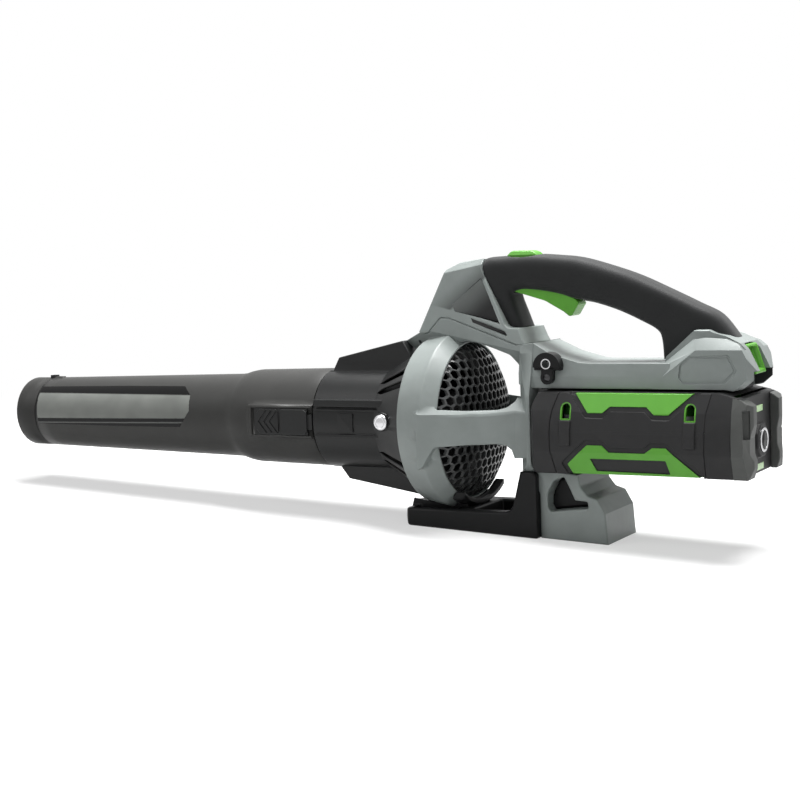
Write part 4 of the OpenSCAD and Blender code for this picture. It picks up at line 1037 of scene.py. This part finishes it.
# %% Housing screws
screws = Recipe("screws", Head=0.0043, Height=0.003, Key=0.0018, Shank=0.002)
height = screws.size("Height")
head = screws.add("GeometryNodeMeshCylinder", None, {
    "Vertices": 32, "Radius": screws.size("Head"), "Depth": height})
key = screws.add("GeometryNodeMeshCylinder", None, {
    "Vertices": 6, "Radius": screws.size("Key"), "Depth": height * 1.4})
key = screws.add("GeometryNodeTransform", None, {
    "Geometry": key, "Translation": screws.vector(0.0, 0.0, height * 0.55)})
head = screws.add("GeometryNodeMeshBoolean", {"operation": "DIFFERENCE"}, {
    "Mesh 1": head, "Mesh 2": key})
head = screws.add("GeometryNodeTransform", None, {
    "Geometry": head, "Translation": screws.vector(0.0, height * 0.5, 0.0),
    "Rotation": (-math.pi / 2, 0, 0)})
shank = screws.add("GeometryNodeMeshCylinder", None, {
    "Vertices": 20, "Radius": screws.size("Shank"), "Depth": 1.0})
shank = screws.add("GeometryNodeTransform", None, {
    "Geometry": shank, "Translation": (0, -0.5, 0), "Rotation": (math.pi / 2, 0, 0)})
length = screws.add("GeometryNodeInputNamedAttribute", {"data_type": "FLOAT"}, {"Name": "reach"})
heads = screws.add("GeometryNodeInstanceOnPoints", None, {
    "Points": screws.base(), "Instance": head})
shanks = screws.add("GeometryNodeInstanceOnPoints", None, {
    "Points": screws.base(), "Instance": shank, "Scale": screws.vector(1.0, length, 1.0)})
screws.close(screws.joined(heads, shanks), finishes["steel"].material)

SCREWS = [(-12, 80, 13), (120, 66, 27), (PACK_END - 92, 54, 27), (PACK_END - 72, 64, 27)]
STOPS_SHORT = 14
seats = bpy.data.meshes.new("seats")
seats.from_pydata([(x * MM, seat * MM, z * MM) for x, z, seat in SCREWS], [], [])
reaches = [(2 * seat - STOPS_SHORT) * MM for _, _, seat in SCREWS]
seats.attributes.new("reach", "FLOAT", "POINT").data.foreach_set("value", reaches)
stands_for(screws.make("housing_screws_finished", seats), "housing_screws")

# %% Trigger spring
SPRING_LENGTH = 0.0064
PIVOT = (0.1, 0.135)
spring = Recipe("spring", Turns=5.0, Radius=0.0031, Wire=0.0007, Length=SPRING_LENGTH)
coil = spring.add("GeometryNodeCurveSpiral", None, {
    "Resolution": 24, "Rotations": spring.size("Turns"), "Start Radius": spring.size("Radius"),
    "End Radius": spring.size("Radius"), "Height": spring.size("Length")})
wire = spring.add("GeometryNodeCurvePrimitiveCircle", None, {
    "Resolution": 10, "Radius": spring.size("Wire")})
wound = spring.add("GeometryNodeCurveToMesh", None, {
    "Curve": coil, "Profile Curve": wire, "Fill Caps": True})
laid = spring.add("GeometryNodeTransform", None, {
    "Geometry": wound, "Rotation": (math.pi / 2, 0, 0),
    "Translation": (PIVOT[0], SPRING_LENGTH / 2, PIVOT[1])})
spring.close(laid, finishes["steel"].material)
stands_for(spring.make("trigger_spring_coil", bpy.data.meshes.new("empty")), "trigger_spring")

# %% [markdown]
# ## The bright knobs of the barrel
#
# The two barrel screws are bright metal on black plastic, so a good profile matters more than detail.
# Each is turned: a profile of radius and height is spun round, then stood across the machine.

# %% Turned metal
KNOB = [(0, 59), (2.5, 59), (2.5, 64.97), (7.8, 64.97), (8, 65.2), (8, 66.5), (7.7, 67.4), (6.9, 68.1),
        (5.4, 68.6), (5, 68.35), (4.6, 68.3), (3.2, 68.75), (1.5, 68.92), (0, 68.95)]
KNOB_ALONG, KNOB_UP = -28, 3

shape = bmesh.new()
for quarter in (-90, 90):
    turn = Matrix.Rotation(math.radians(quarter), 4, "Z")
    knob = lathe(KNOB)
    knob.transform(STANCE @ Matrix.Translation((KNOB_ALONG * MM, 0, KNOB_UP * MM)) @ turn)
    shape.from_mesh(knob)
mesh = closed_mesh(shape, "barrel_knobs")
smooth_shade(mesh, 35)
stands_for(placed("barrel_knobs", mesh), "barrel_screws")
